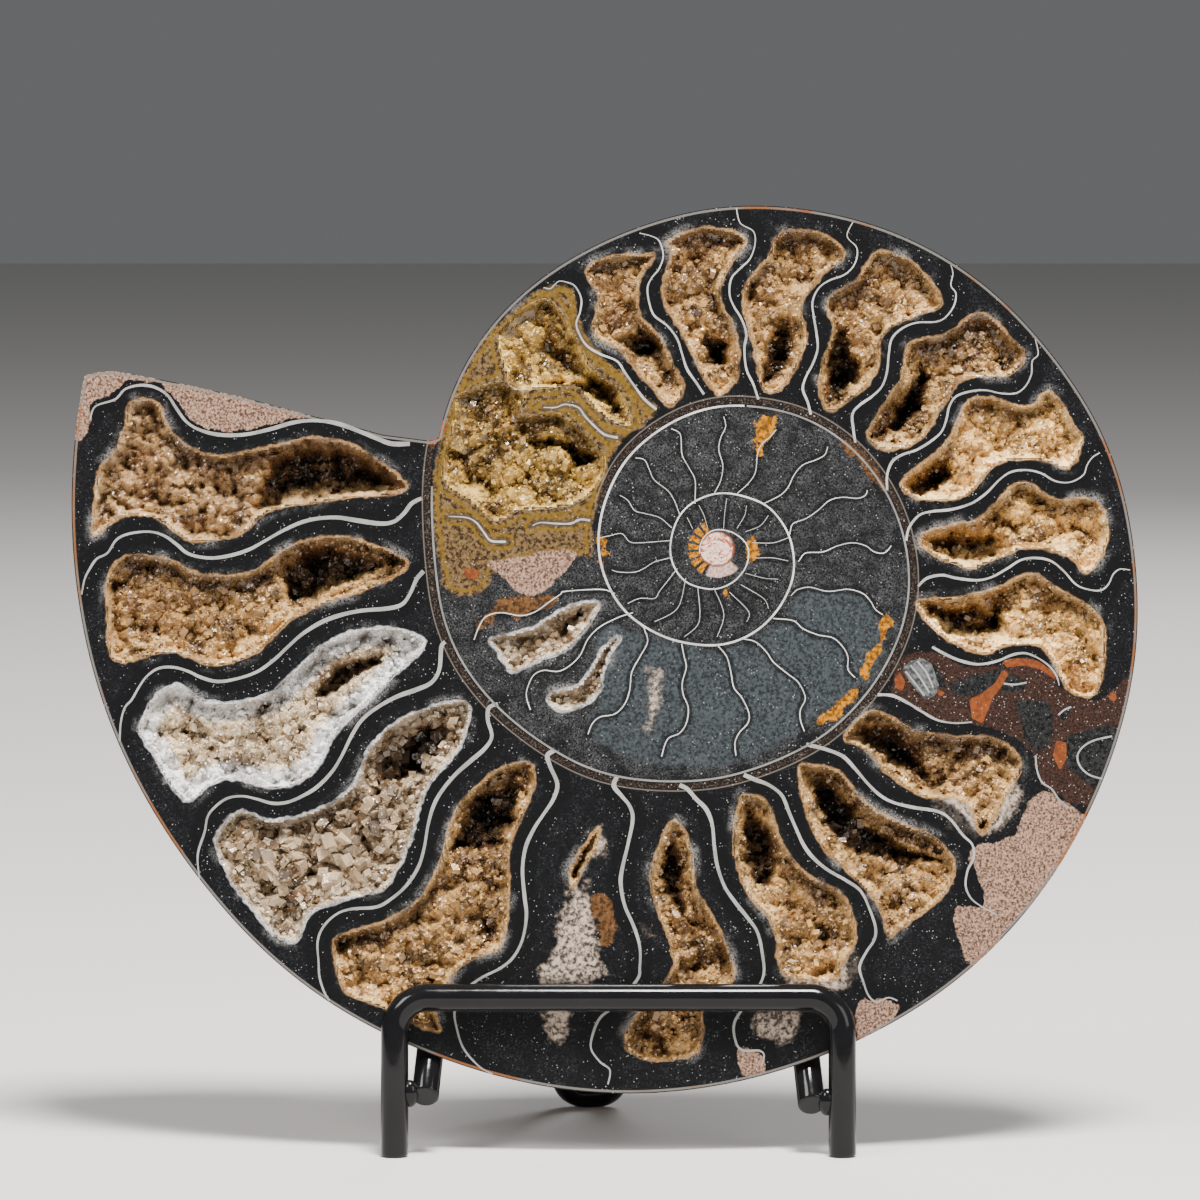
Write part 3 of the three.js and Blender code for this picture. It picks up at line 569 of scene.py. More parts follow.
@dataclass(frozen=True)
class Coil:
    """The spiral that the shell grew along, and the shape of the half shell behind the face."""

    half_thickness: float = 17.0
    edge_thickness: float = 1.2
    taper_width: float = 30.0
    young_share: float = 0.35
    navel_radius: float = 11.0
    navel_thickness: float = 7.0
    easing_deg: int = 19
    mouth_radii_px: tuple = (307, 360, 440, 560, 665)
    mouth_turns_deg: tuple = (-6.2, -4.9, -3.6, -2.3, 0)
    last_turn_deg: float = 525.0
    inner_end_deg: float = SPIRAL_START_DEG + SPIRAL_STEP_DEG * (len(SPIRAL_RADII_PX) - 1)
    rib_count: int = 42
    rib_height: float = 0.75
    rib_sweep_deg: tuple = (9.0, 16.0)
    growth_lines_per_rib: int = 5
    growth_line_height: float = 0.09

    def radius_px(self, turn_deg: np.ndarray) -> np.ndarray:
        """Gives the spiral line's distance from its centre, in pixels, at angles along it."""
        fine = np.arange(SPIRAL_START_DEG, self.inner_end_deg + 1.0)
        known = np.linspace(SPIRAL_START_DEG, self.inner_end_deg, len(SPIRAL_RADII_PX))
        exact = np.interp(fine, known, SPIRAL_RADII_PX)
        padded = np.pad(exact, self.easing_deg // 2, mode="reflect", reflect_type="odd")
        eased = np.convolve(padded, np.ones(self.easing_deg) / self.easing_deg, mode="valid")
        return np.interp(turn_deg, fine, eased)

    def line_mm(self, turn_deg: np.ndarray, inset_px: float = 0.0) -> np.ndarray:
        """Gives places of the spiral line on the face.

        Args:
            turn_deg: angles along the spiral.
            inset_px: how far inside the traced line they lie, in pixels.

        Returns:
            The places in millimetres.
        """
        radius = self.radius_px(turn_deg) - inset_px
        angle = np.radians(turn_deg)
        return np.stack([radius * np.cos(angle) / PX_PER_MM, radius * np.sin(angle) / PX_PER_MM_UP], axis=1)

    def polar(self, points: np.ndarray) -> tuple[np.ndarray, np.ndarray]:
        """Finds where points of the face lie along the outermost whorl.

        Args:
            points: places on the face in millimetres.

        Returns:
            Each point's distance from the spiral's centre in pixels, and its turn along the whorl in degrees.
        """
        across = points[:, 0] * PX_PER_MM
        up = points[:, 1] * PX_PER_MM_UP
        radius = np.hypot(across, up)
        mouth = np.interp(radius, self.mouth_radii_px, self.mouth_turns_deg)
        turn = np.degrees(np.arctan2(up, across)) % 360
        turn = np.where(turn < SPIRAL_START_DEG + mouth, turn + 360, turn)
        return radius, turn

    def outline(self) -> np.ndarray:
        """Gives the fossil's outline on its face in millimetres, rim first and then the mouth's edge."""
        rim = self.line_mm(np.arange(SPIRAL_START_DEG, RIM_END_DEG, 1.0), RIM_INSET_PX)
        return np.concatenate([rim[1:], face_mm(MOUTH_EDGE_PX)[::-1]])

    def whorl_depth(self, radius: np.ndarray, rim: np.ndarray) -> np.ndarray:
        """Gives the smooth depth of a whorl, which swells inwards from its rim and sinks at the navel.

        Args:
            radius: distances from the spiral's centre in pixels.
            rim: the whorl's rim at the same turns, in pixels.

        Returns:
            The depths in millimetres.
        """
        inwards = np.maximum(rim - radius, 0) / PX_PER_MM
        grown = self.young_share + (1 - self.young_share) * rim / SPIRAL_RADII_PX[0]
        rise = np.sin(math.pi / 2 * np.minimum(inwards / self.taper_width, 1))
        flank = self.edge_thickness + (self.half_thickness * grown - self.edge_thickness) * rise
        past_navel = smoothstep(radius / PX_PER_MM, 0, self.navel_radius)
        return self.navel_thickness + (flank - self.navel_thickness) * past_navel

    def depth(self, points: np.ndarray, ribbed: bool) -> np.ndarray:
        """Gives the depth of the shell's natural back behind points of the face.

        Args:
            points: places on the face in millimetres.
            ribbed: whether the ribs and growth lines stand on it.

        Returns:
            The depths in millimetres.
        """
        radius, turn = self.polar(points)
        rim = self.radius_px(np.minimum(turn, self.last_turn_deg))
        depth = self.whorl_depth(radius, rim)
        if ribbed:
            share = radius / rim
            bow, lag = self.rib_sweep_deg
            sweep = bow * np.sin(math.pi * share) - lag * share**3
            phase = 2 * math.pi * ((turn + sweep) * self.rib_count / (RIM_END_DEG - SPIRAL_START_DEG))
            strength = np.sin(math.pi * np.clip((share - 0.2) / 0.78, 0, 1))
            depth = depth + self.rib_height * strength * (0.5 + 0.5 * np.cos(phase)) ** 1.5
            depth = depth + self.growth_line_height * strength * np.cos(phase * self.growth_lines_per_rib)
        return depth


FACE = FaceFrame()
COIL = Coil()


def flat_grid(low: np.ndarray, high: np.ndarray, step: float) -> bmesh.types.BMesh:
    """Makes a flat grid over a box of the face.

    Args:
        low: the box's lower left corner in millimetres.
        high: its upper right corner.
        step: the width of a cell.

    Returns:
        A new bmesh with across in x and up in y.
    """
    sheet = bmesh.new()
    size = high - low
    cells = np.maximum(np.ceil(size / step).astype(int), 1)
    bmesh.ops.create_grid(sheet, x_segments=int(cells[0]), y_segments=int(cells[1]), size=0.5)
    bmesh.ops.scale(sheet, vec=(size[0], size[1], 1), verts=sheet.verts)
    middle = (low + high) / 2
    bmesh.ops.translate(sheet, vec=(middle[0], middle[1], 0), verts=sheet.verts)
    return sheet


def places_of(sheet: bmesh.types.BMesh) -> np.ndarray:
    """Gives the places of a flat bmesh's vertices, across and up."""
    return corners_of(sheet)[:, :2]


def corners_of(shape: bmesh.types.BMesh) -> np.ndarray:
    """Gives the places of a bmesh's vertices, three numbers each."""
    return np.array([tuple(vertex.co) for vertex in shape.verts])


def grid_step(place: float, count: int) -> int:
    """Tells which step of a grid one unit wide and this many cells long a vertex stands on."""
    return min(int(round((place + 0.5) * count)), count)


def cut_to_outline(sheet: bmesh.types.BMesh, outline: np.ndarray, step: float) -> None:
    """Cuts a flat grid down to an outline, and draws its border onto it.

    Args:
        sheet: the grid.
        outline: the outline's points in millimetres.
        step: the width of a cell.
    """
    signed, _ = nearest_on(places_of(sheet), outline, True)
    outside = [vertex for vertex, reach in zip(sheet.verts, signed) if reach < -0.55 * step]
    bmesh.ops.delete(sheet, geom=outside, context="VERTS")
    loose = [vertex for vertex in sheet.verts if not vertex.link_faces]
    bmesh.ops.delete(sheet, geom=loose, context="VERTS")
    border = [vertex for vertex in sheet.verts if vertex.is_boundary]
    _, places = nearest_on(np.array([(vertex.co.x, vertex.co.y) for vertex in border]), outline, True)
    for vertex, place in zip(border, places):
        vertex.co.x, vertex.co.y = place


def new_piece(name: str, shape: bmesh.types.BMesh) -> bpy.types.Object:
    """Turns a bmesh into a piece of the scene.

    Args:
        name: the piece's name.
        shape: its bmesh, which is freed.

    Returns:
        The new object.
    """
    mesh = bpy.data.meshes.new(name)
    shape.to_mesh(mesh)
    shape.free()
    piece = bpy.data.objects.new(name, mesh)
    bpy.context.scene.collection.objects.link(piece)
    return piece


def give_attribute(piece: bpy.types.Object, name: str, values: np.ndarray) -> None:
    """Keeps a number at each of a piece's vertices for its material to read."""
    layer = piece.data.attributes.new(name, "FLOAT", "POINT")
    layer.data.foreach_set("value", np.asarray(values, np.float32))


def move_vertices(piece: bpy.types.Object, points: np.ndarray) -> None:
    """Puts a piece's vertices at new places, in metres in the row."""
    piece.data.vertices.foreach_set("co", np.asarray(points, np.float32).ravel())
    piece.data.update()


def shade(piece: bpy.types.Object, smooth: bool) -> None:
    """Sets whether a piece's faces are shaded smooth."""
    piece.data.polygons.foreach_set("use_smooth", np.full(len(piece.data.polygons), smooth))


def settle(piece: bpy.types.Object, material: bpy.types.Material, slot: str, *nodes: str) -> None:
    """Gives a piece its material, hangs it on its body and hides the CAD nodes that it replaces.

    Args:
        piece: the piece.
        material: its material.
        slot: the material slot's name; not used.
        nodes: the CAD nodes that it replaces.
    """
    piece.data.materials.append(material)
    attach(piece, BODY)
    if nodes:
        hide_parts(*nodes)
    LOG.info("%s: %d faces", piece.name, len(piece.data.polygons))


@dataclass(frozen=True)
class Signal:
    """A number or colour that varies over a surface: the output of one of a material's nodes."""

    socket: bpy.types.NodeSocket

    def combine(self, operation: str, *others: object) -> "Signal":
        """Works out an operation on this number and others."""
        node = self.socket.id_data.nodes.new("ShaderNodeMath")
        node.operation = operation
        for socket, value in zip(node.inputs, (self, *others)):
            feed(socket, value)
        return Signal(node.outputs[0])

    def __add__(self, other: object) -> "Signal":
        """Adds a number."""
        return self.combine("ADD", other)

    def __sub__(self, other: object) -> "Signal":
        """Takes a number away."""
        return self.combine("SUBTRACT", other)

    def __mul__(self, other: object) -> "Signal":
        """Multiplies by a number."""
        return self.combine("MULTIPLY", other)

    def larger(self, other: object) -> "Signal":
        """Gives the larger of two numbers."""
        return self.combine("MAXIMUM", other)

    def smaller(self, other: object) -> "Signal":
        """Gives the smaller of two numbers."""
        return self.combine("MINIMUM", other)

    def sine(self) -> "Signal":
        """Gives the sine of an angle in radians."""
        return self.combine("SINE")

    def away_from(self, number: float) -> "Signal":
        """Gives the distance from a number, which is never negative."""
        return (self - number).combine("ABSOLUTE")

    def ramp(self, low: float, high: float, start: float = 0.0, end: float = 1.0) -> "Signal":
        """Goes softly from start at low to end at high."""
        node = self.socket.id_data.nodes.new("ShaderNodeMapRange")
        node.interpolation_type = "SMOOTHSTEP"
        names = ("Value", "From Min", "From Max", "To Min", "To Max")
        for name, value in zip(names, (self, low, high, start, end)):
            feed(node.inputs[name], value)
        return Signal(node.outputs["Result"])


def feed(socket: bpy.types.NodeSocket, value: object) -> None:
    """Links an input to a signal, or sets it to a plain number or colour."""
    if isinstance(value, Signal):
        socket.id_data.links.new(value.socket, socket)
    elif socket.type == "RGBA":
        socket.default_value = (*value, 1.0)
    else:
        socket.default_value = value


class Finish:
    """A material under construction: short calls add its nodes."""

    def __init__(self, name: str) -> None:
        """Starts a material with a Principled shader."""
        self.material = bpy.data.materials.new(name)
        self.material.use_nodes = True
        self.nodes = self.material.node_tree.nodes
        self.shader = self.nodes["Principled BSDF"]
        self.place = Signal(self.nodes.new("ShaderNodeTexCoord").outputs["Object"])

    def put(self, socket: str, value: object) -> None:
        """Sets a socket of the shader to a value, or links it to a signal."""
        feed(self.shader.inputs[socket], value)

    def value_of(self, name: str) -> Signal:
        """Reads a number kept at the piece's vertices."""
        node = self.nodes.new("ShaderNodeAttribute")
        node.attribute_name = name
        return Signal(node.outputs["Fac"])

    def noise(self, scale: float, detail: float = 3.0, rough: float = 0.55, warp: float = 0.0) -> Signal:
        """Adds noise on object coordinates, in features a metre."""
        node = self.nodes.new("ShaderNodeTexNoise")
        names = ("Vector", "Scale", "Detail", "Roughness", "Distortion")
        for name, value in zip(names, (self.place, scale, detail, rough, warp)):
            feed(node.inputs[name], value)
        return Signal(node.outputs["Fac"])

    def cells(self, scale: float) -> Signal:
        """Adds the distance to the nearest of scattered points, in points a metre."""
        node = self.nodes.new("ShaderNodeTexVoronoi")
        feed(node.inputs["Vector"], self.place)
        feed(node.inputs["Scale"], scale)
        return Signal(node.outputs["Distance"])

    def blend(self, share: Signal, first: object, second: object) -> Signal:
        """Mixes two colours."""
        node = self.nodes.new("ShaderNodeMix")
        node.data_type = "RGBA"
        colours = [socket for socket in node.inputs if socket.type == "RGBA"]
        feed(node.inputs["Factor"], share)
        feed(colours[0], first)
        feed(colours[1], second)
        return Signal(next(socket for socket in node.outputs if socket.type == "RGBA"))

    def colours(self, value: Signal, *stops: tuple) -> Signal:
        """Turns a number into a colour by (position, colour) stops."""
        node = self.nodes.new("ShaderNodeValToRGB")
        ramp = node.color_ramp
        while len(ramp.elements) < len(stops):
            ramp.elements.new(0.5)
        for element, (position, colour) in zip(ramp.elements, stops):
            element.position = position
            element.color = (*colour, 1.0)
        feed(node.inputs["Fac"], value)
        return Signal(node.outputs["Color"])

    def bump(self, height: Signal, distance_mm: float, strength: float) -> None:
        """Raises the surface's shading by a height pattern."""
        node = self.nodes.new("ShaderNodeBump")
        feed(node.inputs["Strength"], strength)
        feed(node.inputs["Distance"], distance_mm * MM)
        feed(node.inputs["Height"], height)
        self.put("Normal", Signal(node.outputs["Normal"]))


@dataclass(frozen=True)
class StonePatch:
    """Another stone that fills a zone of the face: its grains, and how its edge wanders and fades."""

    zone: Zone
    light: tuple
    dark: tuple
    grain: float
    wobble_mm: float
    edge_mm: float
    most: float = 1.0

    def lay(self, finish: Finish, under: Signal) -> Signal:
        """Lays the stone over what is there.

        Args:
            finish: the face's material.
            under: the colour so far.

        Returns:
            The colour with the patch on it.
        """
        wobble = (finish.noise(420, 5, 0.65) - 0.5) * (self.wobble_mm * 2.5)
        half = self.edge_mm / 2
        share = (finish.value_of(self.zone.value) + wobble).ramp(-half, half, 0.0, self.most)
        grains = finish.noise(self.grain, 4, 0.65).ramp(0.38, 0.62)
        return finish.blend(share, under, finish.blend(grains, self.dark, self.light))


CLOUDS = (
    StonePatch(Zone.BLUE_GREY, (0.043, 0.051, 0.0555), (0.0125, 0.015, 0.017), 2100, 1.3, 1.4, 0.9),
    StonePatch(Zone.PALE, (0.48, 0.38, 0.30), (0.045, 0.035, 0.03), 1500, 2.2, 1.6, 0.85),
)
OCHRE_STONE = StonePatch(Zone.OCHRE, (0.135, 0.084, 0.036), (0.020, 0.012, 0.006), 1700, 1.0, 0.5)
FRAGMENTS = (
    StonePatch(Zone.BRECCIA, (0.037, 0.019, 0.0135), (0.012, 0.007, 0.006), 3200, 0.7, 0.3),
    StonePatch(Zone.BLACK, (0.018, 0.0187, 0.0187), (0.0042, 0.0045, 0.0046), 1800, 0.15, 0.12),
    StonePatch(Zone.STRIPED, (0.105, 0.11, 0.112), (0.025, 0.026, 0.027), 1500, 0.15, 0.12),
    StonePatch(Zone.ORANGE, (0.165, 0.045, 0.012), (0.10, 0.028, 0.011), 1500, 0.2, 0.12),
    StonePatch(Zone.MUDSTONE, (0.31, 0.195, 0.14), (0.05, 0.026, 0.018), 2900, 0.9, 0.2),
    StonePatch(Zone.AMBER, (0.115, 0.052, 0.018), (0.028, 0.015, 0.008), 1800, 1.4, 0.5),
    StonePatch(Zone.GOLD, (0.41, 0.155, 0.005), (0.09, 0.036, 0.005), 1500, 1.9, 0.25),
)


class PolishedStone:
    """The cut face: black mineral round the chambers, with patches of other stone, all under one polish."""

    black: tuple = (0.0042, 0.0043, 0.0048)
    dark_grey: tuple = (0.027, 0.028, 0.031)
    mottle_dark: tuple = (0.005, 0.0051, 0.0054)
    mottle_light: tuple = (0.062, 0.063, 0.066)
    gold_rind: tuple = ((0.10, 0.05, 0.022), (0.33, 0.19, 0.075))
    sugar_rind: tuple = ((0.14, 0.145, 0.15), (0.60, 0.60, 0.60))
    haze: tuple = (0.36, 0.35, 0.34)
    speck: tuple = (0.42, 0.41, 0.39)

    def __init__(self) -> None:
        """Starts the material with the noises and distances that its layers share."""
        self.finish = Finish("polished_stone")
        self.fine = self.finish.noise(3600, 3, 0.7)
        self.mid = self.finish.noise(420, 4, 0.6)
        self.broad = self.finish.noise(70, 3)
        self.wall = self.finish.value_of("wall_mm")
        self.near = self.finish.value_of("hollow_mm")
        self.inside = self.finish.value_of("inner_mm")
        self.inner = (self.inside + self.broad * 0.3).ramp(0.1, 0.5)

    def material(self) -> bpy.types.Material:
        """Lays the face's stones one over the other and polishes them.

        Returns:
            The finished material.
        """
        finish = self.finish
        stone = self.ground()
        for cloud in CLOUDS:
            stone = cloud.lay(finish, stone)
        stone = self.chamber_edges(stone)
        stone = self.ochre_bands(OCHRE_STONE.lay(finish, stone))
        for fragment in FRAGMENTS:
            stone = fragment.lay(finish, stone)
        stone = self.heart(self.venter(stone))
        stone = self.shell_rim(self.specks(stone))
        finish.put("Base Color", stone)
        finish.put("Roughness", self.fine.ramp(0.3, 0.8, 0.12, 0.24))
        finish.put("Specular IOR Level", 0.42)
        finish.put("Coat Weight", 0.25)
        finish.put("Coat Roughness", 0.06)
        finish.bump(self.mid + self.fine * 0.3, 0.03, 0.25)
        return finish.material

    def ground(self) -> Signal:
        """Makes the black mineral between the chambers, and the greyer mottled one of the inner whorls."""
        pepper = self.fine.ramp(0.46, 0.74) * self.mid.ramp(0.38, 0.66, 0.3, 1.0)
        stone = self.finish.blend(pepper, self.black, self.dark_grey)
        frost = self.fine.ramp(0.36, 0.68) * self.mid.ramp(0.3, 0.7, 0.25, 1.0)
        mottled = self.finish.blend(frost, self.mottle_dark, self.mottle_light)
        return self.finish.blend(self.inner * 0.92, stone, mottled)

    def chamber_edges(self, under: Signal) -> Signal:
        """Lays the black seam along the walls, and the rind and the haze round the hollows."""
        finish = self.finish
        ragged = self.inner.ramp(0.2, 0.8, 1.6, 5.0) * (finish.noise(1300, 5, 0.75) - 0.5)
        seam = (self.wall + ragged).ramp(1.7, 2.3, 1.0, 0.0) * self.inner.ramp(0.2, 0.8, 0.88, 0.7)
        stone = finish.blend(seam, under, self.black)
        wavy = self.near + finish.noise(900, 4) - 0.5
        rind = wavy.ramp(0.0, 0.3, 1.0, 0.0) * finish.noise(240, 4, 0.6).ramp(0.36, 0.58, 0.15, 1.0)
        grains = self.fine.ramp(0.35, 0.65)
        gold = finish.blend(grains, *self.gold_rind)
        sugar = finish.blend(grains, *self.sugar_rind)
        stone = finish.blend(rind, stone, finish.blend(finish.value_of("pale_rim"), gold, sugar))
        haze = wavy.ramp(0.2, 1.5, 0.36, 0.0) * finish.noise(150, 3).ramp(0.5, 0.66)
        return finish.blend(haze * self.fine.ramp(0.35, 0.62), stone, self.haze)

    def ochre_bands(self, under: Signal) -> Signal:
        """Lays golden bands in the ochre stone, round its hollows, along its walls and inside its border."""
        reach = self.finish.value_of(Zone.OCHRE.value)
        within = reach.ramp(0.0, 0.4)
        drift = (self.mid - 0.5) * 1.3
        bands = (self.near + drift).away_from(0.9).smaller((reach + drift).away_from(0.9))
        bands = bands.smaller((self.wall + drift).away_from(1.0)).ramp(0.1, 0.42, 1.0, 0.0)
        broken = bands * within * self.fine.ramp(0.3, 0.6, 0.25, 0.9)
        stone = self.finish.blend(broken, under, (0.125, 0.070, 0.006))
        inlay = self.wall.ramp(0.35, 0.7, 0.7, 0.0) * within
        return self.finish.blend(inlay, stone, (0.05, 0.035, 0.02))

    def venter(self, under: Signal) -> Signal:
        """Lays the dark granular band and the faint second line just outside the second whorl."""
        grains = self.finish.blend(self.fine.ramp(0.5, 0.68), (0.010, 0.008, 0.007), (0.10, 0.066, 0.046))
        band = self.inside.away_from(-0.75).ramp(0.3, 0.6, 0.8, 0.0)
        line = self.inside.away_from(-1.45).ramp(0.05, 0.16, 0.5, 0.0)
        return self.finish.blend(line, self.finish.blend(band, under, grains), (0.16, 0.135, 0.11))

    def heart(self, under: Signal) -> Signal:
        """Lays the pink first chamber, the gold wedges beside it and the pink crescent under it."""
        finish = self.finish
        middle = finish.value_of("centre_mm") + finish.noise(900, 3) * 0.5
        turn = finish.value_of("centre_turn")
        ring = middle.ramp(4.55, 4.8, 1.0, 0.0) * finish.value_of("centre_left").ramp(0.3, 0.5)
        spokes = (turn * 19.0).sine().ramp(-0.75, -0.35)
        wedges = turn.ramp(1.9, 2.1) * turn.ramp(4.15, 4.3, 1.0, 0.0) * spokes * ring
        grain = finish.noise(2600, 3, 0.7).ramp(0.4, 0.6)
        stone = finish.blend(wedges, under, finish.blend(grain, (0.11, 0.04, 0.005), (0.42, 0.17, 0.008)))
        crescent = turn.ramp(4.25, 4.4) * turn.ramp(5.45, 5.6, 1.0, 0.0) * ring
        rosy = finish.blend(grain, (0.26, 0.16, 0.13), (0.46, 0.32, 0.27))
        stone = finish.blend(crescent, stone, rosy)
        veins = finish.noise(560, 2, 0.5, 1.2).away_from(0.5).ramp(0.015, 0.05)
        pale = finish.blend(grain, (0.50, 0.32, 0.26), (0.70, 0.52, 0.45))
        pink = finish.blend(veins, (0.30, 0.085, 0.045), pale)
        stone = finish.blend(middle.ramp(2.75, 2.9, 1.0, 0.0), stone, pink)
        return finish.blend(middle.away_from(2.85).ramp(0.1, 0.25, 0.8, 0.0), stone, (0.11, 0.035, 0.02))

    def specks(self, under: Signal) -> Signal:
        """Scatters pale grit over the stone, and more of it through the broken fragments."""
        finish = self.finish
        grit = finish.cells(1900).ramp(0.1, 0.22, 1.0, 0.0)
        chosen = finish.noise(700, 3).ramp(0.47, 0.6) * finish.noise(1300, 2).ramp(0.35, 0.62, 0.15, 1.0)
        chips = finish.value_of(Zone.BLACK.value).larger(finish.value_of(Zone.ORANGE.value))
        chips = chips.larger(finish.value_of(Zone.STRIPED.value))
        sandy = finish.value_of(Zone.BRECCIA.value).ramp(0.0, 0.3) * chips.ramp(-0.1, 0.1, 1.0, 0.2)
        sandy = sandy * finish.noise(1100, 2).ramp(0.42, 0.5)
        bright = finish.value_of(Zone.MUDSTONE.value).ramp(-0.2, 0.0, 0.75, 0.35)
        return finish.blend(grit * (chosen.larger(sandy * 0.8) * bright), under, self.speck)

    def shell_rim(self, under: Signal) -> Signal:
        """Draws the cut edge of the shell just inside the rim, grey and here and there rusty."""
        shell = self.finish.value_of("rim_mm").away_from(0.32).ramp(0.1, 0.24, 1.0, 0.0)
        rust = self.finish.blend(self.broad.ramp(0.54, 0.64), (0.13, 0.12, 0.11), (0.17, 0.07, 0.03))
        return self.finish.blend(shell * 0.85, under, rust)


@dataclass(frozen=True)
class CrystalFinish:
    """A crust of calcite crystals: its light, middle and heart colours, the dark colours of its painted
    shade, and its painted glitter.
    """

    kind: Crust
    # Light crystal tone, also the colour of the painted highlights and glints
    light: tuple
    middle: tuple
    # Near black painted shade for the deepest caves
    deep: tuple
    heart_light: tuple
    # Dark heart tone, also the colour of painted shade in gaps, depths and under the upper edge
    heart_dark_and_shade: tuple
    rim: tuple
    heart_edge: tuple = (0.6, 1.4)
    roughness: float = 0.32
    # Strength of the painted glints
    sugar: float = 0.5
    # Strength of the painted shadow under a hollow's upper edge
    shadow: float = 0.72

    def material(self) -> bpy.types.Material:
        """Builds the crust's material.

        Returns:
            The finished material.
        """
        finish = Finish(f"{self.kind.value}_crystals")
        inside = finish.value_of("inside_mm")
        tone = finish.value_of("crystal_tone") * 0.55 + finish.noise(190, 3) * 0.75
        heart = finish.blend(tone.ramp(0.4, 0.86), self.heart_dark_and_shade, self.heart_light)
        outer = finish.blend(tone.ramp(0.46, 0.9), self.middle, self.light)
        colour = finish.blend(inside.ramp(*self.heart_edge), outer, heart)
        # Painted highlight: pale glints at scattered points stand in for light sparkling off crystal faces.
        glint = finish.cells(1500).ramp(0.12, 0.3, 1.0, 0.0) * self.sugar
        colour = finish.blend(glint, colour, tuple(min(1.0, part * 0.9 + 0.22) for part in self.light))
        colour = self.rust_and_painted_light(finish, colour, tone)
        speckle = finish.noise(1500, 3, 0.7) * 0.7 + tone * 0.4
        rind = finish.blend(speckle.ramp(0.45, 0.72), self.heart_dark_and_shade, self.rim)
        edge = (inside + finish.noise(900, 4) * 0.7).ramp(0.42, 0.7, 1.0, 0.0)
        patchy = finish.noise(210, 4, 0.6).ramp(0.36, 0.6, 0.1, 0.9)
        finish.put("Base Color", finish.blend(edge * patchy, colour, rind))
        rough = finish.noise(1600, 3).ramp(0.3, 0.7, self.roughness * 0.25, self.roughness * 1.6)
        finish.put("Roughness", rough)
        finish.put("Specular IOR Level", 0.6)
        finish.put("Subsurface Weight", 0.06)
        finish.put("Subsurface Radius", (0.002, 0.0012, 0.0006))
        finish.bump(finish.cells(2600), 0.08, 0.5)
        return finish.material

    def rust_and_painted_light(self, finish: Finish, colour: Signal, tone: Signal) -> Signal:
        """Adds rust stains, then paints shade into the gaps between crystals, the deep parts, the caves and
        the wall under the upper edge, and paints a highlight on the wall above the lower edge.

        Args:
            finish: the crust's material.
            colour: the crystals' colour.
            tone: the number that tells light crystals from dark ones.

        Returns:
            The darkened colour.
        """
        depth = finish.value_of("depth_mm")
        below = finish.value_of("under_edge")
        # Painted shade in the low places of the relief, between lumps and crystals.
        colour = finish.blend(finish.value_of("relief").ramp(0.32, 0.68, 0.9, 0.0), colour, self.heart_dark_and_shade)
        rusty = finish.noise(120, 3).ramp(0.5, 0.68) * 0.5
        rust = tuple(part * share for part, share in zip(self.middle, (0.9, 0.7, 0.5)))
        colour = finish.blend(rusty, colour, rust)
        # Painted shade that grows with depth, then near black painted shade in the deepest caves.
        colour = finish.blend(depth.ramp(2.6, 5.2, 0.0, 0.8), colour, self.heart_dark_and_shade)
        colour = finish.blend(depth.ramp(5.0, 7.6), colour, self.deep)
        # Painted shadow on the wall under a hollow's upper edge, and a painted highlight on light crystals
        # above its lower edge.
        colour = finish.blend(below.ramp(0.15, 0.85) * self.shadow, colour, self.heart_dark_and_shade)
        lit = below.ramp(-0.85, -0.1, 0.6, 0.0) * tone.ramp(0.48, 0.72)
        return finish.blend(lit, colour, self.light)


CRYSTAL_FINISHES = (
    CrystalFinish(Crust.GOLD, (0.60, 0.385, 0.16), (0.145, 0.072, 0.022), (0.006, 0.003, 0.0015),
                  (0.39, 0.22, 0.076), (0.038, 0.016, 0.0055), (0.30, 0.17, 0.062)),
    CrystalFinish(Crust.ROUND, (0.55, 0.36, 0.17), (0.16, 0.085, 0.034), (0.006, 0.003, 0.0015),
                  (0.36, 0.215, 0.092), (0.042, 0.019, 0.0075), (0.30, 0.17, 0.062), sugar=0.25),
    CrystalFinish(Crust.CREAM, (0.98, 0.71, 0.33), (0.33, 0.16, 0.038), (0.009, 0.004, 0.0015),
                  (0.74, 0.44, 0.14), (0.078, 0.031, 0.0075), (0.42, 0.23, 0.066)),
    CrystalFinish(Crust.WHITE, (0.86, 0.85, 0.84), (0.30, 0.29, 0.28), (0.03, 0.016, 0.008),
                  (0.62, 0.48, 0.31), (0.10, 0.055, 0.023), (0.66, 0.65, 0.64), (1.9, 3.4), 0.32, 0.75, 0.2),
    CrystalFinish(Crust.PEBBLY, (0.62, 0.51, 0.37), (0.17, 0.115, 0.066), (0.011, 0.0055, 0.0025),
                  (0.40, 0.295, 0.185), (0.052, 0.027, 0.012), (0.38, 0.29, 0.19), (0.8, 2.2), 0.18,
                  shadow=0.5),
    CrystalFinish(Crust.OCHRE, (0.66, 0.45, 0.13), (0.17, 0.09, 0.016), (0.008, 0.004, 0.0015),
                  (0.40, 0.24, 0.05), (0.045, 0.02, 0.004), (0.20, 0.12, 0.017)),
)


def wall_material() -> bpy.types.Material:
    """Builds the pale mineral of the walls between chambers."""
    finish = Finish("chamber_wall")
    lit = finish.blend(finish.noise(300, 4).ramp(0.3, 0.7), (0.36, 0.36, 0.35), (0.62, 0.62, 0.60))
    finish.put("Base Color", finish.blend(finish.value_of("brightness"), (0.06, 0.055, 0.05), lit))
    finish.put("Roughness", 0.2)
    finish.put("Specular IOR Level", 0.45)
    return finish.material


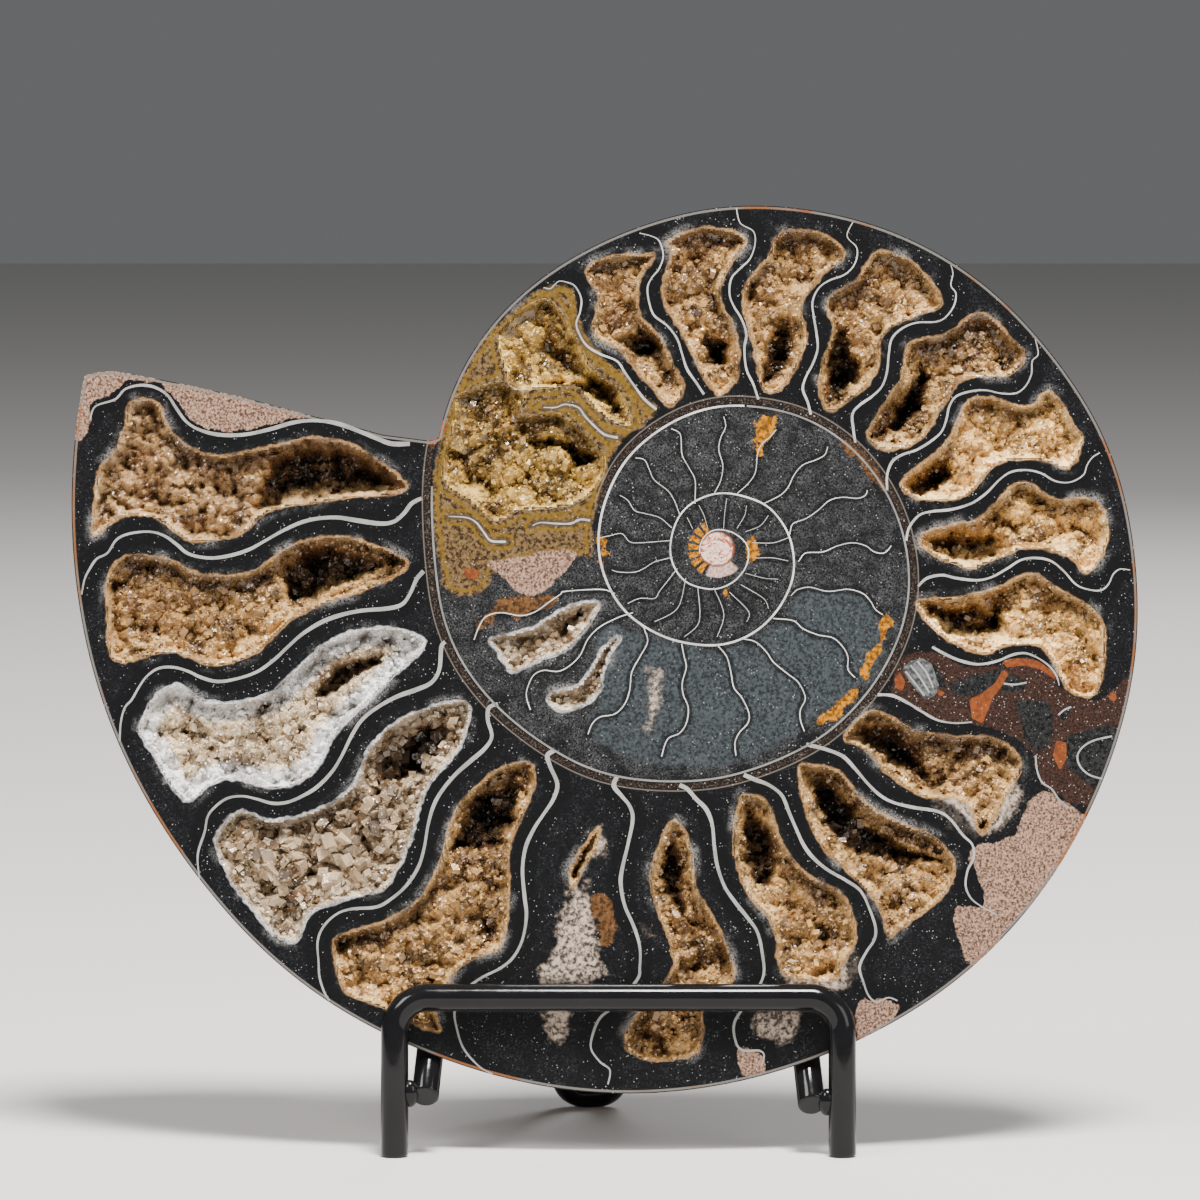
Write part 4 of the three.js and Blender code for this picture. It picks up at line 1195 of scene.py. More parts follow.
def shell_material() -> bpy.types.Material:
    """Builds the natural outside of the shell, with its growth lines worn and stained."""
    finish = Finish("natural_shell")
    fine = finish.noise(420, 5, 0.65)
    colour = finish.colours(
        finish.noise(38, 5, 0.6, 0.6), (0.28, (0.035, 0.023, 0.017)), (0.45, (0.11, 0.064, 0.036)),
        (0.58, (0.21, 0.135, 0.078)), (0.72, (0.075, 0.055, 0.042)),
    )
    colour = finish.blend(fine.ramp(0.45, 0.7, 0.0, 0.6), colour, (0.27, 0.20, 0.13))
    colour = finish.blend(finish.value_of("ridge").ramp(0.4, 1.0, 0.0, 0.5), colour, (0.33, 0.235, 0.15))
    stain = finish.noise(85, 4, 0.6).ramp(0.55, 0.7) * 0.6
    finish.put("Base Color", finish.blend(stain, colour, (0.17, 0.06, 0.022)))
    finish.put("Roughness", fine.ramp(0.3, 0.7, 0.32, 0.6))
    finish.put("Sheen Weight", 0.05)
    finish.bump(fine + finish.noise(1500, 3), 0.12, 0.6)
    return finish.material


def lacquer_material() -> bpy.types.Material:
    """Builds the rods' glossy black lacquer, with the faint unevenness of a dipped coat."""
    finish = Finish("black_lacquer")
    black = finish.blend(finish.noise(160, 3), (0.003, 0.003, 0.0034), (0.007, 0.007, 0.008))
    finish.put("Base Color", black)
    finish.put("Roughness", finish.noise(500, 3).ramp(0.3, 0.7, 0.08, 0.16))
    finish.put("Specular IOR Level", 0.2)
    finish.put("Coat Weight", 0.05)
    finish.put("Coat Roughness", 0.05)
    finish.bump(finish.noise(240, 2), 0.08, 0.3)
    return finish.material


def floor_material() -> bpy.types.Material:
    """Builds the plain pale floor."""
    finish = Finish("pale_floor")
    finish.put("Base Color", (0.62, 0.61, 0.59))
    finish.put("Roughness", 0.7)
    return finish.material


def curve_mm(points_px: tuple, closed: bool) -> np.ndarray:
    """Turns picture points into a smooth line on the face in millimetres."""
    return smooth_line(face_mm(points_px), closed)


def ragged_outline(points_px: tuple, number: int) -> np.ndarray:
    """Gives a hollow's outline in millimetres, with the small unevenness of broken crystals.

    Args:
        points_px: the outline in picture pixels.
        number: the hollow's place in the row of hollows, which sets its unevenness apart.

    Returns:
        The outline's points.
    """
    line = curve_mm(points_px, True)
    ahead = np.roll(line, -1, axis=0) - np.roll(line, 1, axis=0)
    ahead /= np.maximum(np.hypot(ahead[:, 0], ahead[:, 1]), 1e-9)[:, None]
    chance = np.random.default_rng(number * 7 + 50)
    fine = chance.uniform(-1, 1, len(line))
    slow = np.convolve(np.tile(chance.uniform(-1, 1, len(line)), 3), np.ones(4) / 4, mode="same")
    jitter = RAGGED_MM * (0.5 * fine + 0.9 * slow[len(line):2 * len(line)])
    return line + np.stack([-ahead[:, 1], ahead[:, 0]], axis=1) * jitter[:, None]


HOLLOW_OUTLINES = {
    hollow.node: ragged_outline(hollow.outline_px, number) for number, hollow in enumerate(HOLLOWS)
}
OUTER_WALLS = [curve_mm(wall, False) for wall in OUTER_WALLS_PX]
INNER_WALLS = [curve_mm(wall, False) for wall in INNER_WALLS_PX]


def face_sheet(step: float) -> bmesh.types.BMesh:
    """Makes a flat sheet of cells this wide over the whole face, cut to the fossil's outline."""
    outline = COIL.outline()
    sheet = flat_grid(outline.min(axis=0) - 1, outline.max(axis=0) + 1, step)
    cut_to_outline(sheet, outline, step)
    return sheet


def deepest(places: np.ndarray, lines: list[np.ndarray], margin: float) -> np.ndarray:
    """Measures how far places lie inside the nearest of several outlines.

    Args:
        places: places on the face in millimetres.
        lines: the closed outlines.
        margin: how far outside them is measured.

    Returns:
        The distances, negative outside all the outlines.
    """
    inside = np.full(len(places), -margin)
    for line in lines:
        inside = np.maximum(inside, reach_of(places, line, True, margin))
    return inside


@dataclass(frozen=True)
class PolishedFace:
    """The flat cut face, with the open chambers cut out of it."""

    step: float = 0.42
    reach: float = 4.0
    inner_wall_share: float = 3.2

    def build(self) -> bpy.types.Object:
        """Makes the face and keeps its distances to walls, hollows and patches for the material.

        Returns:
            The face's object.
        """
        sheet = face_sheet(self.step)
        hollow = deepest(places_of(sheet), list(HOLLOW_OUTLINES.values()), self.reach)
        sheet.verts.ensure_lookup_table()
        open_faces = [side for side in sheet.faces if all(hollow[vertex.index] > 0 for vertex in side.verts)]
        bmesh.ops.delete(sheet, geom=open_faces, context="FACES")
        bmesh.ops.recalc_face_normals(sheet, faces=sheet.faces)
        places = places_of(sheet)
        piece = new_piece("polished_face", sheet)
        move_vertices(piece, FACE.row(places[:, 0], places[:, 1], np.zeros(len(places))))
        self.keep_edges(piece, places)
        self.keep_whorls(piece, places)
        for zone, outlines in ZONES_PX.items():
            sharp = zone in SHARP_ZONES
            lines = [face_mm(points) if sharp else curve_mm(points, True) for points in outlines]
            give_attribute(piece, zone.value, deepest(places, lines, self.reach))
        shade(piece, False)
        return piece

    def keep_edges(self, piece: bpy.types.Object, places: np.ndarray) -> None:
        """Keeps how far each vertex is from the walls, the hollows and the rim.

        Args:
            piece: the face.
            places: its vertices in millimetres.
        """
        wall = np.full(len(places), self.reach)
        for share, lines in ((1.0, OUTER_WALLS), (self.inner_wall_share, INNER_WALLS)):
            for line in lines:
                wall = np.minimum(wall, share * reach_of(places, line, False, self.reach))
        hollow = np.full(len(places), -2 * self.reach)
        pale = np.zeros(len(places))
        for chamber in HOLLOWS:
            inside = reach_of(places, HOLLOW_OUTLINES[chamber.node], True, 2 * self.reach)
            pale[inside > hollow] = chamber.crust in (Crust.WHITE, Crust.PEBBLY)
            hollow = np.maximum(hollow, inside)
        give_attribute(piece, "wall_mm", wall)
        give_attribute(piece, "hollow_mm", -hollow)
        give_attribute(piece, "pale_rim", pale)
        give_attribute(piece, "rim_mm", reach_of(places, COIL.outline(), True, self.reach))

    def keep_whorls(self, piece: bpy.types.Object, places: np.ndarray) -> None:
        """Keeps how far each vertex is inside the second whorl, and its place round the first chamber.

        Args:
            piece: the face.
            places: its vertices in millimetres.
        """
        radius, turn = COIL.polar(places)
        give_attribute(piece, "inner_mm", (COIL.radius_px(turn + 360) - radius) / PX_PER_MM)
        across, up = (places - face_mm((FIRST_CHAMBER_PX,))[0]).T
        angle = np.arctan2(up, across)
        give_attribute(piece, "centre_mm", np.hypot(across, up))
        give_attribute(piece, "centre_turn", angle % (2 * math.pi))
        give_attribute(piece, "centre_left", np.abs(angle))


@dataclass(frozen=True)
class ShellBack:
    """The natural outside of the half shell behind the face."""

    step: float = 0.62
    wall_steps: tuple = (0.0, 0.35, 0.7)
    blend_deg: float = 14.0
    blend_lead_deg: float = 6.0
    blend_band_px: tuple = (-50, 12)

    def depth(self, places: np.ndarray) -> np.ndarray:
        """Gives the back's depth, with the step where the last whorl ends rounded off."""
        outer = COIL.depth(places, True)
        radius, turn = COIL.polar(places)
        inner_rim = COIL.radius_px(np.minimum(turn + 360, RIM_END_DEG))
        inner = COIL.whorl_depth(radius, inner_rim)
        past = smoothstep(turn - SPIRAL_START_DEG + self.blend_lead_deg, 0, self.blend_deg)
        beyond = smoothstep(radius - inner_rim, *self.blend_band_px)
        share = np.maximum(past, beyond)
        return np.minimum(outer, inner + (outer - inner) * share)

    def build(self) -> bpy.types.Object:
        """Makes the back with its ribs, and the thin edge that joins it to the face.

        Returns:
            The back's object.
        """
        sheet = face_sheet(self.step)
        for vertex, deep in zip(sheet.verts, self.depth(places_of(sheet))):
            vertex.co.z = deep
        for left in reversed(self.wall_steps):
            border = [edge for edge in sheet.edges if edge.is_boundary]
            made = bmesh.ops.extrude_edge_only(sheet, edges=border)["geom"]
            for vertex in [part for part in made if isinstance(part, bmesh.types.BMVert)]:
                vertex.co.z *= left
        bmesh.ops.recalc_face_normals(sheet, faces=sheet.faces)
        points = corners_of(sheet)
        piece = new_piece("shell_back", sheet)
        move_vertices(piece, FACE.row(*points.T))
        plain = COIL.depth(points[:, :2], False)
        give_attribute(piece, "ridge", np.clip((points[:, 2] - plain) / COIL.rib_height, 0, 1))
        shade(piece, True)
        return piece


@dataclass(frozen=True)
class Ribbons:
    """Thin pale bands set into the face: the walls between chambers and the line that the whorls meet on."""

    proud: float = 0.02
    sunk: float = 0.25
    flat_share: float = 0.84
    outer_width: tuple = (0.76, 0.3)
    narrowing: tuple = ((0, 7, 12, 22), (1.0, 0.95, 0.62, 0.5))
    inner_width: float = 0.19
    inner_root: float = 0.5
    whole_size_at: float = 25.0
    fragment_line: tuple = (0.32, 0.4)
    line_turns_deg: tuple = (527.0, 800.0, COIL.inner_end_deg)
    line_brightness: tuple = (0.22, 0.95)
    line_width: tuple = ((527, 800, 860, 1200, 1620), (0.36, 0.34, 0.4, 0.28, 0.16))

    def band(self, shape: bmesh.types.BMesh, line: np.ndarray, widths: np.ndarray, light: float) -> list:
        """Lays one band along a line.

        Args:
            shape: the bmesh that takes the band.
            line: the line on the face in millimetres.
            widths: the band's width at each of the line's points.
            light: how bright the band is, from 0 to 1.

        Returns:
            The brightness of each new vertex.
        """
        ahead = np.gradient(line, axis=0)
        ahead /= np.maximum(np.hypot(ahead[:, 0], ahead[:, 1]), 1e-9)[:, None]
        beside = np.stack([-ahead[:, 1], ahead[:, 0]], axis=1)
        flat = self.flat_share / 2
        profile = ((-0.5, self.sunk), (-flat, -self.proud), (flat, -self.proud), (0.5, self.sunk))
        last = len(line) - 1
        strip = bmesh.ops.create_grid(shape, x_segments=last, y_segments=3, size=0.5)["verts"]
        for vertex in strip:
            station = grid_step(vertex.co.x, last)
            offset, depth = profile[grid_step(vertex.co.y, 3)]
            place = line[station] + beside[station] * offset * widths[station]
            vertex.co = (*place, depth)
        return [light] * len(strip)

    def outer_walls(self, shape: bmesh.types.BMesh) -> list[float]:
        """Lays the walls of the outer whorl, wavy and tapering to the rim, and tells how bright they are."""
        light = []
        for index, line in enumerate(OUTER_WALLS):
            share = np.linspace(0, 1, len(line))
            widths = self.outer_width[0] + (self.outer_width[1] - self.outer_width[0]) * share**1.5
            wave = 1 + 0.18 * np.sin(share * 31 + line[0, 0]) * np.sin(share * 13 + line[0, 1])
            narrow = float(np.interp(index, *self.narrowing))
            light += self.band(shape, line, widths * wave * narrow, 0.85 - 0.47 * narrow)
        return light

    def inner_walls(self, shape: bmesh.types.BMesh) -> list[float]:
        """Lays the walls of the inner whorls, finer towards the heart, and tells how bright they are."""
        light = []
        for wall in INNER_WALLS:
            outwards = wall[0] - wall[1]
            root = wall[0] + outwards / np.hypot(*outwards) * self.inner_root
            line = np.concatenate([root[None], wall])
            size = np.hypot(*line.mean(axis=0)) / self.whole_size_at
            widths = np.full(len(line), self.inner_width * min(1.0, 0.45 + 0.6 * size))
            light += self.band(shape, line, widths, min(0.95, 0.35 + 0.65 * size))
        return light

    def build(self) -> bpy.types.Object:
        """Makes all the bands as one piece.

        Returns:
            The piece.
        """
        shape = bmesh.new()
        light = self.outer_walls(shape) + self.inner_walls(shape)
        width, brightness = self.fragment_line
        for points in FRAGMENT_LINES_PX:
            line = curve_mm(points, False)
            light += self.band(shape, line, np.full(len(line), width), brightness)
        for start, end, brightness in zip(self.line_turns_deg, self.line_turns_deg[1:], self.line_brightness):
            turn = np.arange(start, end, 2.0)
            light += self.band(shape, COIL.line_mm(turn), np.interp(turn, *self.line_width), brightness)
        bmesh.ops.recalc_face_normals(shape, faces=shape.faces)
        points = corners_of(shape)
        piece = new_piece("chamber_walls", shape)
        move_vertices(piece, FACE.row(*points.T))
        give_attribute(piece, "brightness", np.array(light))
        return piece


# A crystal block's corners and, by their numbers, its six sides
BLOCK_CORNERS = 8
BLOCK_SIDES = ((0, 1, 3, 2), (4, 6, 7, 5), (0, 4, 5, 1), (2, 3, 7, 6), (0, 2, 6, 4), (1, 5, 7, 3))


def skewed_block() -> np.ndarray:
    """Gives the corners of one leaning calcite block, about 2 across."""
    corners = np.array([(x, y, z) for x in (-1, 1) for y in (-1, 1) for z in (-1, 1)], float)
    corners[:, 0] += 0.32 * corners[:, 1]
    corners[:, 1] += 0.22 * corners[:, 2]
    return corners * (1.0, 0.8, 0.7)


@dataclass(frozen=True)
class Bed:
    """The crust's surface at some places: depth, tone, relief, way in from the edge and way under it."""

    depth: np.ndarray
    tone: np.ndarray
    relief: np.ndarray
    inside: np.ndarray
    under: np.ndarray


@dataclass(frozen=True)
class CrystalCrust:
    """The crystals that line an open chamber: a rim, a lumpy slope and a floor with grains on it."""

    step: float = 0.26
    edge_width: float = 0.16
    edge_proud: float = 0.015
    edge_clear: float = 0.02
    wall_width: float = 0.9
    floor_depth: float = 3.9
    cave_depth: float = 4.8
    back_margin: float = 1.0
    lump_size: float = 3.9
    knob_size: float = 1.7
    crystal_size: float = 1.35
    grit_size: float = 0.68
    grains_per_mm2: float = 2.4
    grain_size: tuple = (0.2, 0.5)
    block_size: tuple = (0.45, 1.1)
    block_share: float = 0.09
    pebble_size: tuple = (0.6, 1.9)
    ball_size: float = 1.25
    ball_height: float = 1.1
    # How far in from the edge the painted shadow and highlight reach
    edge_shading_reach: float = 4.5
    kept_share: dict = field(default_factory=lambda: {Crust.PEBBLY: 0.55, Crust.ROUND: 0.07})

    def surface(self, places: np.ndarray, hollow: Hollow, outline: np.ndarray, salt: float) -> Bed:
        """Shapes the crust's surface.

        Args:
            places: points on the face in millimetres.
            hollow: the chamber.
            outline: the chamber's outline.
            salt: the number that sets this crust's pattern apart.

        Returns:
            The surface at those points.
        """
        inside, edge_place = nearest_on(places, outline, True)
        lumps, lump_own = crystal_relief(places, self.lump_size, salt, 0.0)
        mid, mid_own = crystal_relief(places + 3 * salt, self.crystal_size, salt + 20, 0.85)
        fine, fine_own = crystal_relief(places - 5 * salt, self.grit_size, salt + 40, 0.9)
        knobs, _ = crystal_relief(places + 2 * salt, self.knob_size, salt + 60, 0.0)
        uneven = 0.7 * (lump_own - 0.5) * smoothstep(inside, 0.2, 1.0)
        slope = smoothstep(inside + uneven, self.edge_width, self.edge_width + self.wall_width)
        relief = 0.4 * lumps + 0.25 * knobs + 0.2 * mid + 0.15 * fine
        height = slope * (3.3 * (lumps - 0.45) + 1.3 * (knobs - 0.5) + 0.8 * (mid - 0.4))
        height = height + smoothstep(inside, self.edge_width, self.edge_width + 0.5) * 0.4 * (fine - 0.35)
        depth = self.floor_depth * slope - height
        if hollow.cave_px:
            cave = nearest_on(places, curve_mm(hollow.cave_px, True), True)[0]
            depth = depth + self.cave_depth * smoothstep(cave + 0.8 * (0.5 - knobs), -0.5, 1.3)
        back = COIL.depth(places, False) - self.back_margin
        depth = np.minimum(depth, np.maximum(back, 0.3))
        depth = np.maximum(depth, np.where(inside < self.edge_width, -self.edge_proud, self.edge_clear))
        depth = np.where(inside < self.edge_width * 0.6, -self.edge_proud, depth)
        tone = 0.35 * lump_own + 0.4 * mid_own + 0.25 * fine_own
        if hollow.crust is Crust.ROUND:
            balls, ball_own = crystal_relief(places + 7 * salt, self.ball_size, salt + 80, 0.0)
            depth = depth - self.ball_height * slope * (balls - 0.6)
            depth = np.maximum(depth, self.edge_clear * slope - self.edge_proud)
            relief = 0.3 * lumps + 0.7 * (balls - 0.2)
            tone = 0.45 * tone + 0.55 * ball_own
        # How far below its nearest edge each point lies, fading inwards; the material paints shadow under the
        # upper edge and a highlight above the lower edge from it.
        under = np.clip((edge_place[:, 1] - places[:, 1]) / np.maximum(inside, 0.2), -1, 1)
        under = under * (1 - smoothstep(inside, 1.0, self.edge_shading_reach))
        return Bed(depth, tone, relief, inside, under)

    def grains(self, hollow: Hollow, outline: np.ndarray, salt: float) -> tuple:
        """Scatters small skewed crystals over the crust.

        Args:
            hollow: the chamber.
            outline: its outline.
            salt: the crust's own number.

        Returns:
            The crystals' corner points (across, up, depth), their tones, their distances from the edge and
            how far they lie under it.
        """
        chance = np.random.default_rng(1000 + int(salt * 10))
        low = outline.min(axis=0)
        high = outline.max(axis=0)
        tries = int(np.prod(high - low) * self.grains_per_mm2)
        places = chance.uniform(low, high, (tries, 2))
        bed = self.surface(places, hollow, outline, salt)
        kept = bed.inside > self.edge_width + 0.02
        if hollow.crust in self.kept_share:
            kept &= chance.random(tries) < self.kept_share[hollow.crust]
        count = int(kept.sum())
        inside = bed.inside[kept]
        smallest, largest = self.pebble_size if hollow.crust is Crust.PEBBLY else self.grain_size
        size = smallest + (largest - smallest) * chance.random(count) ** 2.2
        blocks = chance.random(count) < self.block_share
        low_block, high_block = self.block_size
        grown = low_block + (high_block - low_block) * chance.random(count) ** 1.6
        size = np.where(blocks, np.maximum(size, grown), size)
        size = np.minimum(size, 0.4 * (inside - self.edge_width) + 0.22)
        axes = np.linalg.qr(chance.normal(size=(count, 3, 3)))[0]
        turned = np.einsum("nij,cj->nci", axes, skewed_block()) * size[:, None, None]
        heart = np.concatenate([places[kept], bed.depth[kept, None]], axis=1)
        points = (heart[:, None, :] + turned * 0.62).reshape(-1, 3)
        lowest = self.edge_clear + 0.06 * chance.random(count)
        points[:, 2] = np.maximum(points[:, 2], np.repeat(lowest, BLOCK_CORNERS))
        tone = 0.4 * bed.tone[kept] + 0.6 * chance.random(count)
        return points, *(np.repeat(part, BLOCK_CORNERS) for part in (tone, inside, bed.under[kept]))

    def build(self, hollow: Hollow, salt: float) -> bpy.types.Object:
        """Makes one chamber's crust.

        Args:
            hollow: the chamber.
            salt: the crust's own number.

        Returns:
            The crust's object.
        """
        outline = HOLLOW_OUTLINES[hollow.node]
        sheet = flat_grid(outline.min(axis=0) - self.step, outline.max(axis=0) + self.step, self.step)
        cut_to_outline(sheet, outline, self.step)
        places = places_of(sheet)
        bed = self.surface(places, hollow, outline, salt)
        points, tone, inside, under = self.grains(hollow, outline, salt)
        bed_mesh = bpy.data.meshes.new(f"{hollow.node}_bed")
        sheet.to_mesh(bed_mesh)
        sheet.free()
        grain_mesh = bpy.data.meshes.new(f"{hollow.node}_grains")
        starts = range(0, len(points), BLOCK_CORNERS)
        sides = [[start + corner for corner in side] for start in starts for side in BLOCK_SIDES]
        grain_mesh.from_pydata(points.tolist(), [], sides)
        crust = bmesh.new()
        for mesh in (bed_mesh, grain_mesh):
            crust.from_mesh(mesh)
            bpy.data.meshes.remove(mesh)
        bmesh.ops.recalc_face_normals(crust, faces=crust.faces)
        piece = new_piece(f"crystals_{hollow.node[-2:]}", crust)
        everything = np.concatenate([np.concatenate([places, bed.depth[:, None]], axis=1), points])
        move_vertices(piece, FACE.row(*everything.T))
        give_attribute(piece, "crystal_tone", np.concatenate([bed.tone, tone]))
        give_attribute(piece, "relief", np.concatenate([bed.relief, np.full(len(points), 0.75)]))
        give_attribute(piece, "depth_mm", everything[:, 2])
        give_attribute(piece, "inside_mm", np.concatenate([bed.inside, inside]))
        give_attribute(piece, "under_edge", np.concatenate([bed.under, under]))
        shade(piece, False)
        return piece


@dataclass(frozen=True)
class Corner:
    """A corner of a bent rod: its place in the stand in millimetres, and the radius of its bend."""

    place: tuple
    radius: float = 0.0


@dataclass(frozen=True)
class WireStand:
    """The easel of bent round rod: a front frame with two legs, a back frame with two arms and a foot."""

    rod: float = 4.2
    sides: int = 28
    bend_steps: int = 15
    chamfer: float = 0.35
    row_offset: tuple = (2.16, -24.31, 0.0)
    front_half_width: float = 34.0
    front_bar_height: float = 23.9
    front_bend: float = 5.0
    lean_deg: float = 8.0
    arm_half_width: float = 29.4
    arm_end_heights: tuple = (8.9, 7.6)
    arm_end_forward: float = -2.0
    arm_bend: tuple = (27.4, 23.0)
    arm_bend_radius: float = 6.0
    arm_slope_deg: float = 37.0
    side_top: tuple = (24.0, 28.0, 60.0)
    side_top_back: tuple = (23.0, 37.0, 60.0)
    top_radius: float = 4.275
    rear_foot: tuple = (-4.5, 3.2, 52.0, 2.1)
    rear_foot_radius: float = 2.88
    weld_radius: tuple = (1.35, 1.25, 2.1)
    weld_shift: tuple = (-0.1, 0.6)

    def front_corners(self) -> list[Corner]:
        """Lists the front frame's corners, from its left foot over the bar to its right foot."""
        forward = -self.front_bar_height * math.tan(math.radians(self.lean_deg))
        left = [
            Corner((-self.front_half_width, forward, 0.0)),
            Corner((-self.front_half_width, 0.0, self.front_bar_height), self.front_bend),
        ]
        right = [Corner((-corner.place[0], *corner.place[1:]), corner.radius) for corner in reversed(left)]
        return left + right

    def back_corners(self) -> list[Corner]:
        """Lists the back frame's corners, from the left arm's end over the top, to the foot and back up."""
        sides = []
        for side, low in zip((-1, 1), self.arm_end_heights):
            middle, half, back, height = self.rear_foot
            climb = (self.arm_bend[1] - self.arm_end_forward) * math.tan(math.radians(self.arm_slope_deg))
            sides.append([
                Corner((side * self.arm_half_width, self.arm_end_forward, low)),
                Corner((side * self.arm_bend[0], self.arm_bend[1], low + climb), self.arm_bend_radius),
                Corner((side * self.side_top[0], *self.side_top[1:]), self.top_radius),
                Corner((side * self.side_top_back[0], *self.side_top_back[1:]), self.top_radius),
                Corner((middle + side * half, back, height), self.rear_foot_radius),
            ])
        return sides[0] + sides[1][::-1]

    def centreline(self, corners: list[Corner]) -> np.ndarray:
        """Rounds the corners of a rod's centreline.

        Args:
            corners: the corners in order.

        Returns:
            The centreline's points in millimetres.
        """
        line = [Vector(corners[0].place)]
        for before, corner, after in zip(corners, corners[1:], corners[2:]):
            bend = Vector(corner.place)
            come = (Vector(before.place) - bend).normalized()
            leave = (Vector(after.place) - bend).normalized()
            half = come.angle(leave) / 2
            reach = corner.radius / math.tan(half)
            centre = bend + (come + leave).normalized() * corner.radius / math.sin(half)
            first = bend + come * reach - centre
            last = bend + leave * reach - centre
            for share in np.linspace(0, 1, self.bend_steps):
                way = first.normalized().slerp(last.normalized(), float(share))
                line.append(centre + way * corner.radius)
        line.append(Vector(corners[-1].place))
        return np.array([tuple(point) for point in line])

    def rod_along(self, shape: bmesh.types.BMesh, line: np.ndarray, flat_foot: bool) -> None:
        """Sweeps the round rod along a centreline.

        Args:
            shape: the bmesh that takes the rod.
            line: the centreline's points.
            flat_foot: whether both ends stand flat on the table.
        """
        ahead = np.gradient(line, axis=0)
        ahead /= np.linalg.norm(ahead, axis=1)[:, None]
        half = self.rod / 2
        stations = [(line[0], ahead[0], half - self.chamfer)]
        stations.append((line[0] + ahead[0] * self.chamfer, ahead[0], half))
        stations += [(point, way, half) for point, way in zip(line[1:-1], ahead[1:-1])]
        stations.append((line[-1] - ahead[-1] * self.chamfer, ahead[-1], half))
        stations.append((line[-1], ahead[-1], half - self.chamfer))
        beside = np.array((0.0, 1.0, 0.0)) if abs(ahead[0][1]) < 0.7 else np.array((1.0, 0.0, 0.0))
        angle = np.linspace(0, 2 * math.pi, self.sides + 1)
        rings = []
        for centre, way, radius in stations:
            beside = beside - way * (beside @ way)
            beside /= np.linalg.norm(beside)
            other = np.cross(way, beside)
            rings.append(centre + radius * (np.cos(angle)[:, None] * beside + np.sin(angle)[:, None] * other))
        if flat_foot:
            rings[0][:, 2] = 0.0
            rings[-1][:, 2] = 0.0
        last = len(rings) - 1
        strip = bmesh.ops.create_grid(shape, x_segments=last, y_segments=self.sides, size=0.5)["verts"]
        for vertex in strip:
            vertex.co = rings[grid_step(vertex.co.x, last)][grid_step(vertex.co.y, self.sides)]
        bmesh.ops.remove_doubles(shape, verts=shape.verts, dist=1e-4)
        bmesh.ops.holes_fill(shape, edges=[edge for edge in shape.edges if edge.is_boundary], sides=0)

    def build(self, name: str, corners: list[Corner], flat_foot: bool, welded: bool) -> bpy.types.Object:
        """Makes one frame of the stand.

        Args:
            name: the piece's name.
            corners: the rod's corners.
            flat_foot: whether both ends stand flat on the table.
            welded: whether its ends carry weld beads.

        Returns:
            The frame's object.
        """
        shape = bmesh.new()
        line = self.centreline(corners)
        self.rod_along(shape, line, flat_foot)
        if welded:
            for end, beside in ((line[0], -1), (line[-1], 1)):
                bead = bmesh.ops.create_uvsphere(shape, u_segments=20, v_segments=12, radius=1.0)["verts"]
                bmesh.ops.scale(shape, vec=self.weld_radius, verts=bead)
                middle = beside * (self.arm_half_width + self.front_half_width) / 2
                back, high = self.weld_shift
                bmesh.ops.translate(shape, vec=(middle, end[1] + back, end[2] + high), verts=bead)
        bmesh.ops.translate(shape, vec=self.row_offset, verts=shape.verts)
        bmesh.ops.scale(shape, vec=(MM, MM, MM), verts=shape.verts)
        bmesh.ops.recalc_face_normals(shape, faces=shape.faces)
        piece = new_piece(name, shape)
        shade(piece, True)
        for side in piece.data.polygons:
            if len(side.vertices) > 4:
                side.use_smooth = False
        return piece


@dataclass(frozen=True)
class SoftBox:
    """A square lamp: where it stands and looks, how wide it is and how bright."""

    name: str
    place: tuple
    target: tuple
    width: float
    watts: float
    colour: tuple = (1.0, 1.0, 1.0)

    def build(self) -> bpy.types.Object:
        """Hangs the lamp."""
        lamp = bpy.data.lights.new(self.name, "AREA")
        lamp.shape = "SQUARE"
        lamp.size = self.width
        lamp.energy = self.watts
        lamp.color = self.colour
        holder = bpy.data.objects.new(self.name, lamp)
        holder.location = self.place
        holder.rotation_euler = (Vector(self.target) - Vector(self.place)).to_track_quat("-Z", "Y").to_euler()
        bpy.context.scene.collection.objects.link(holder)
        return holder


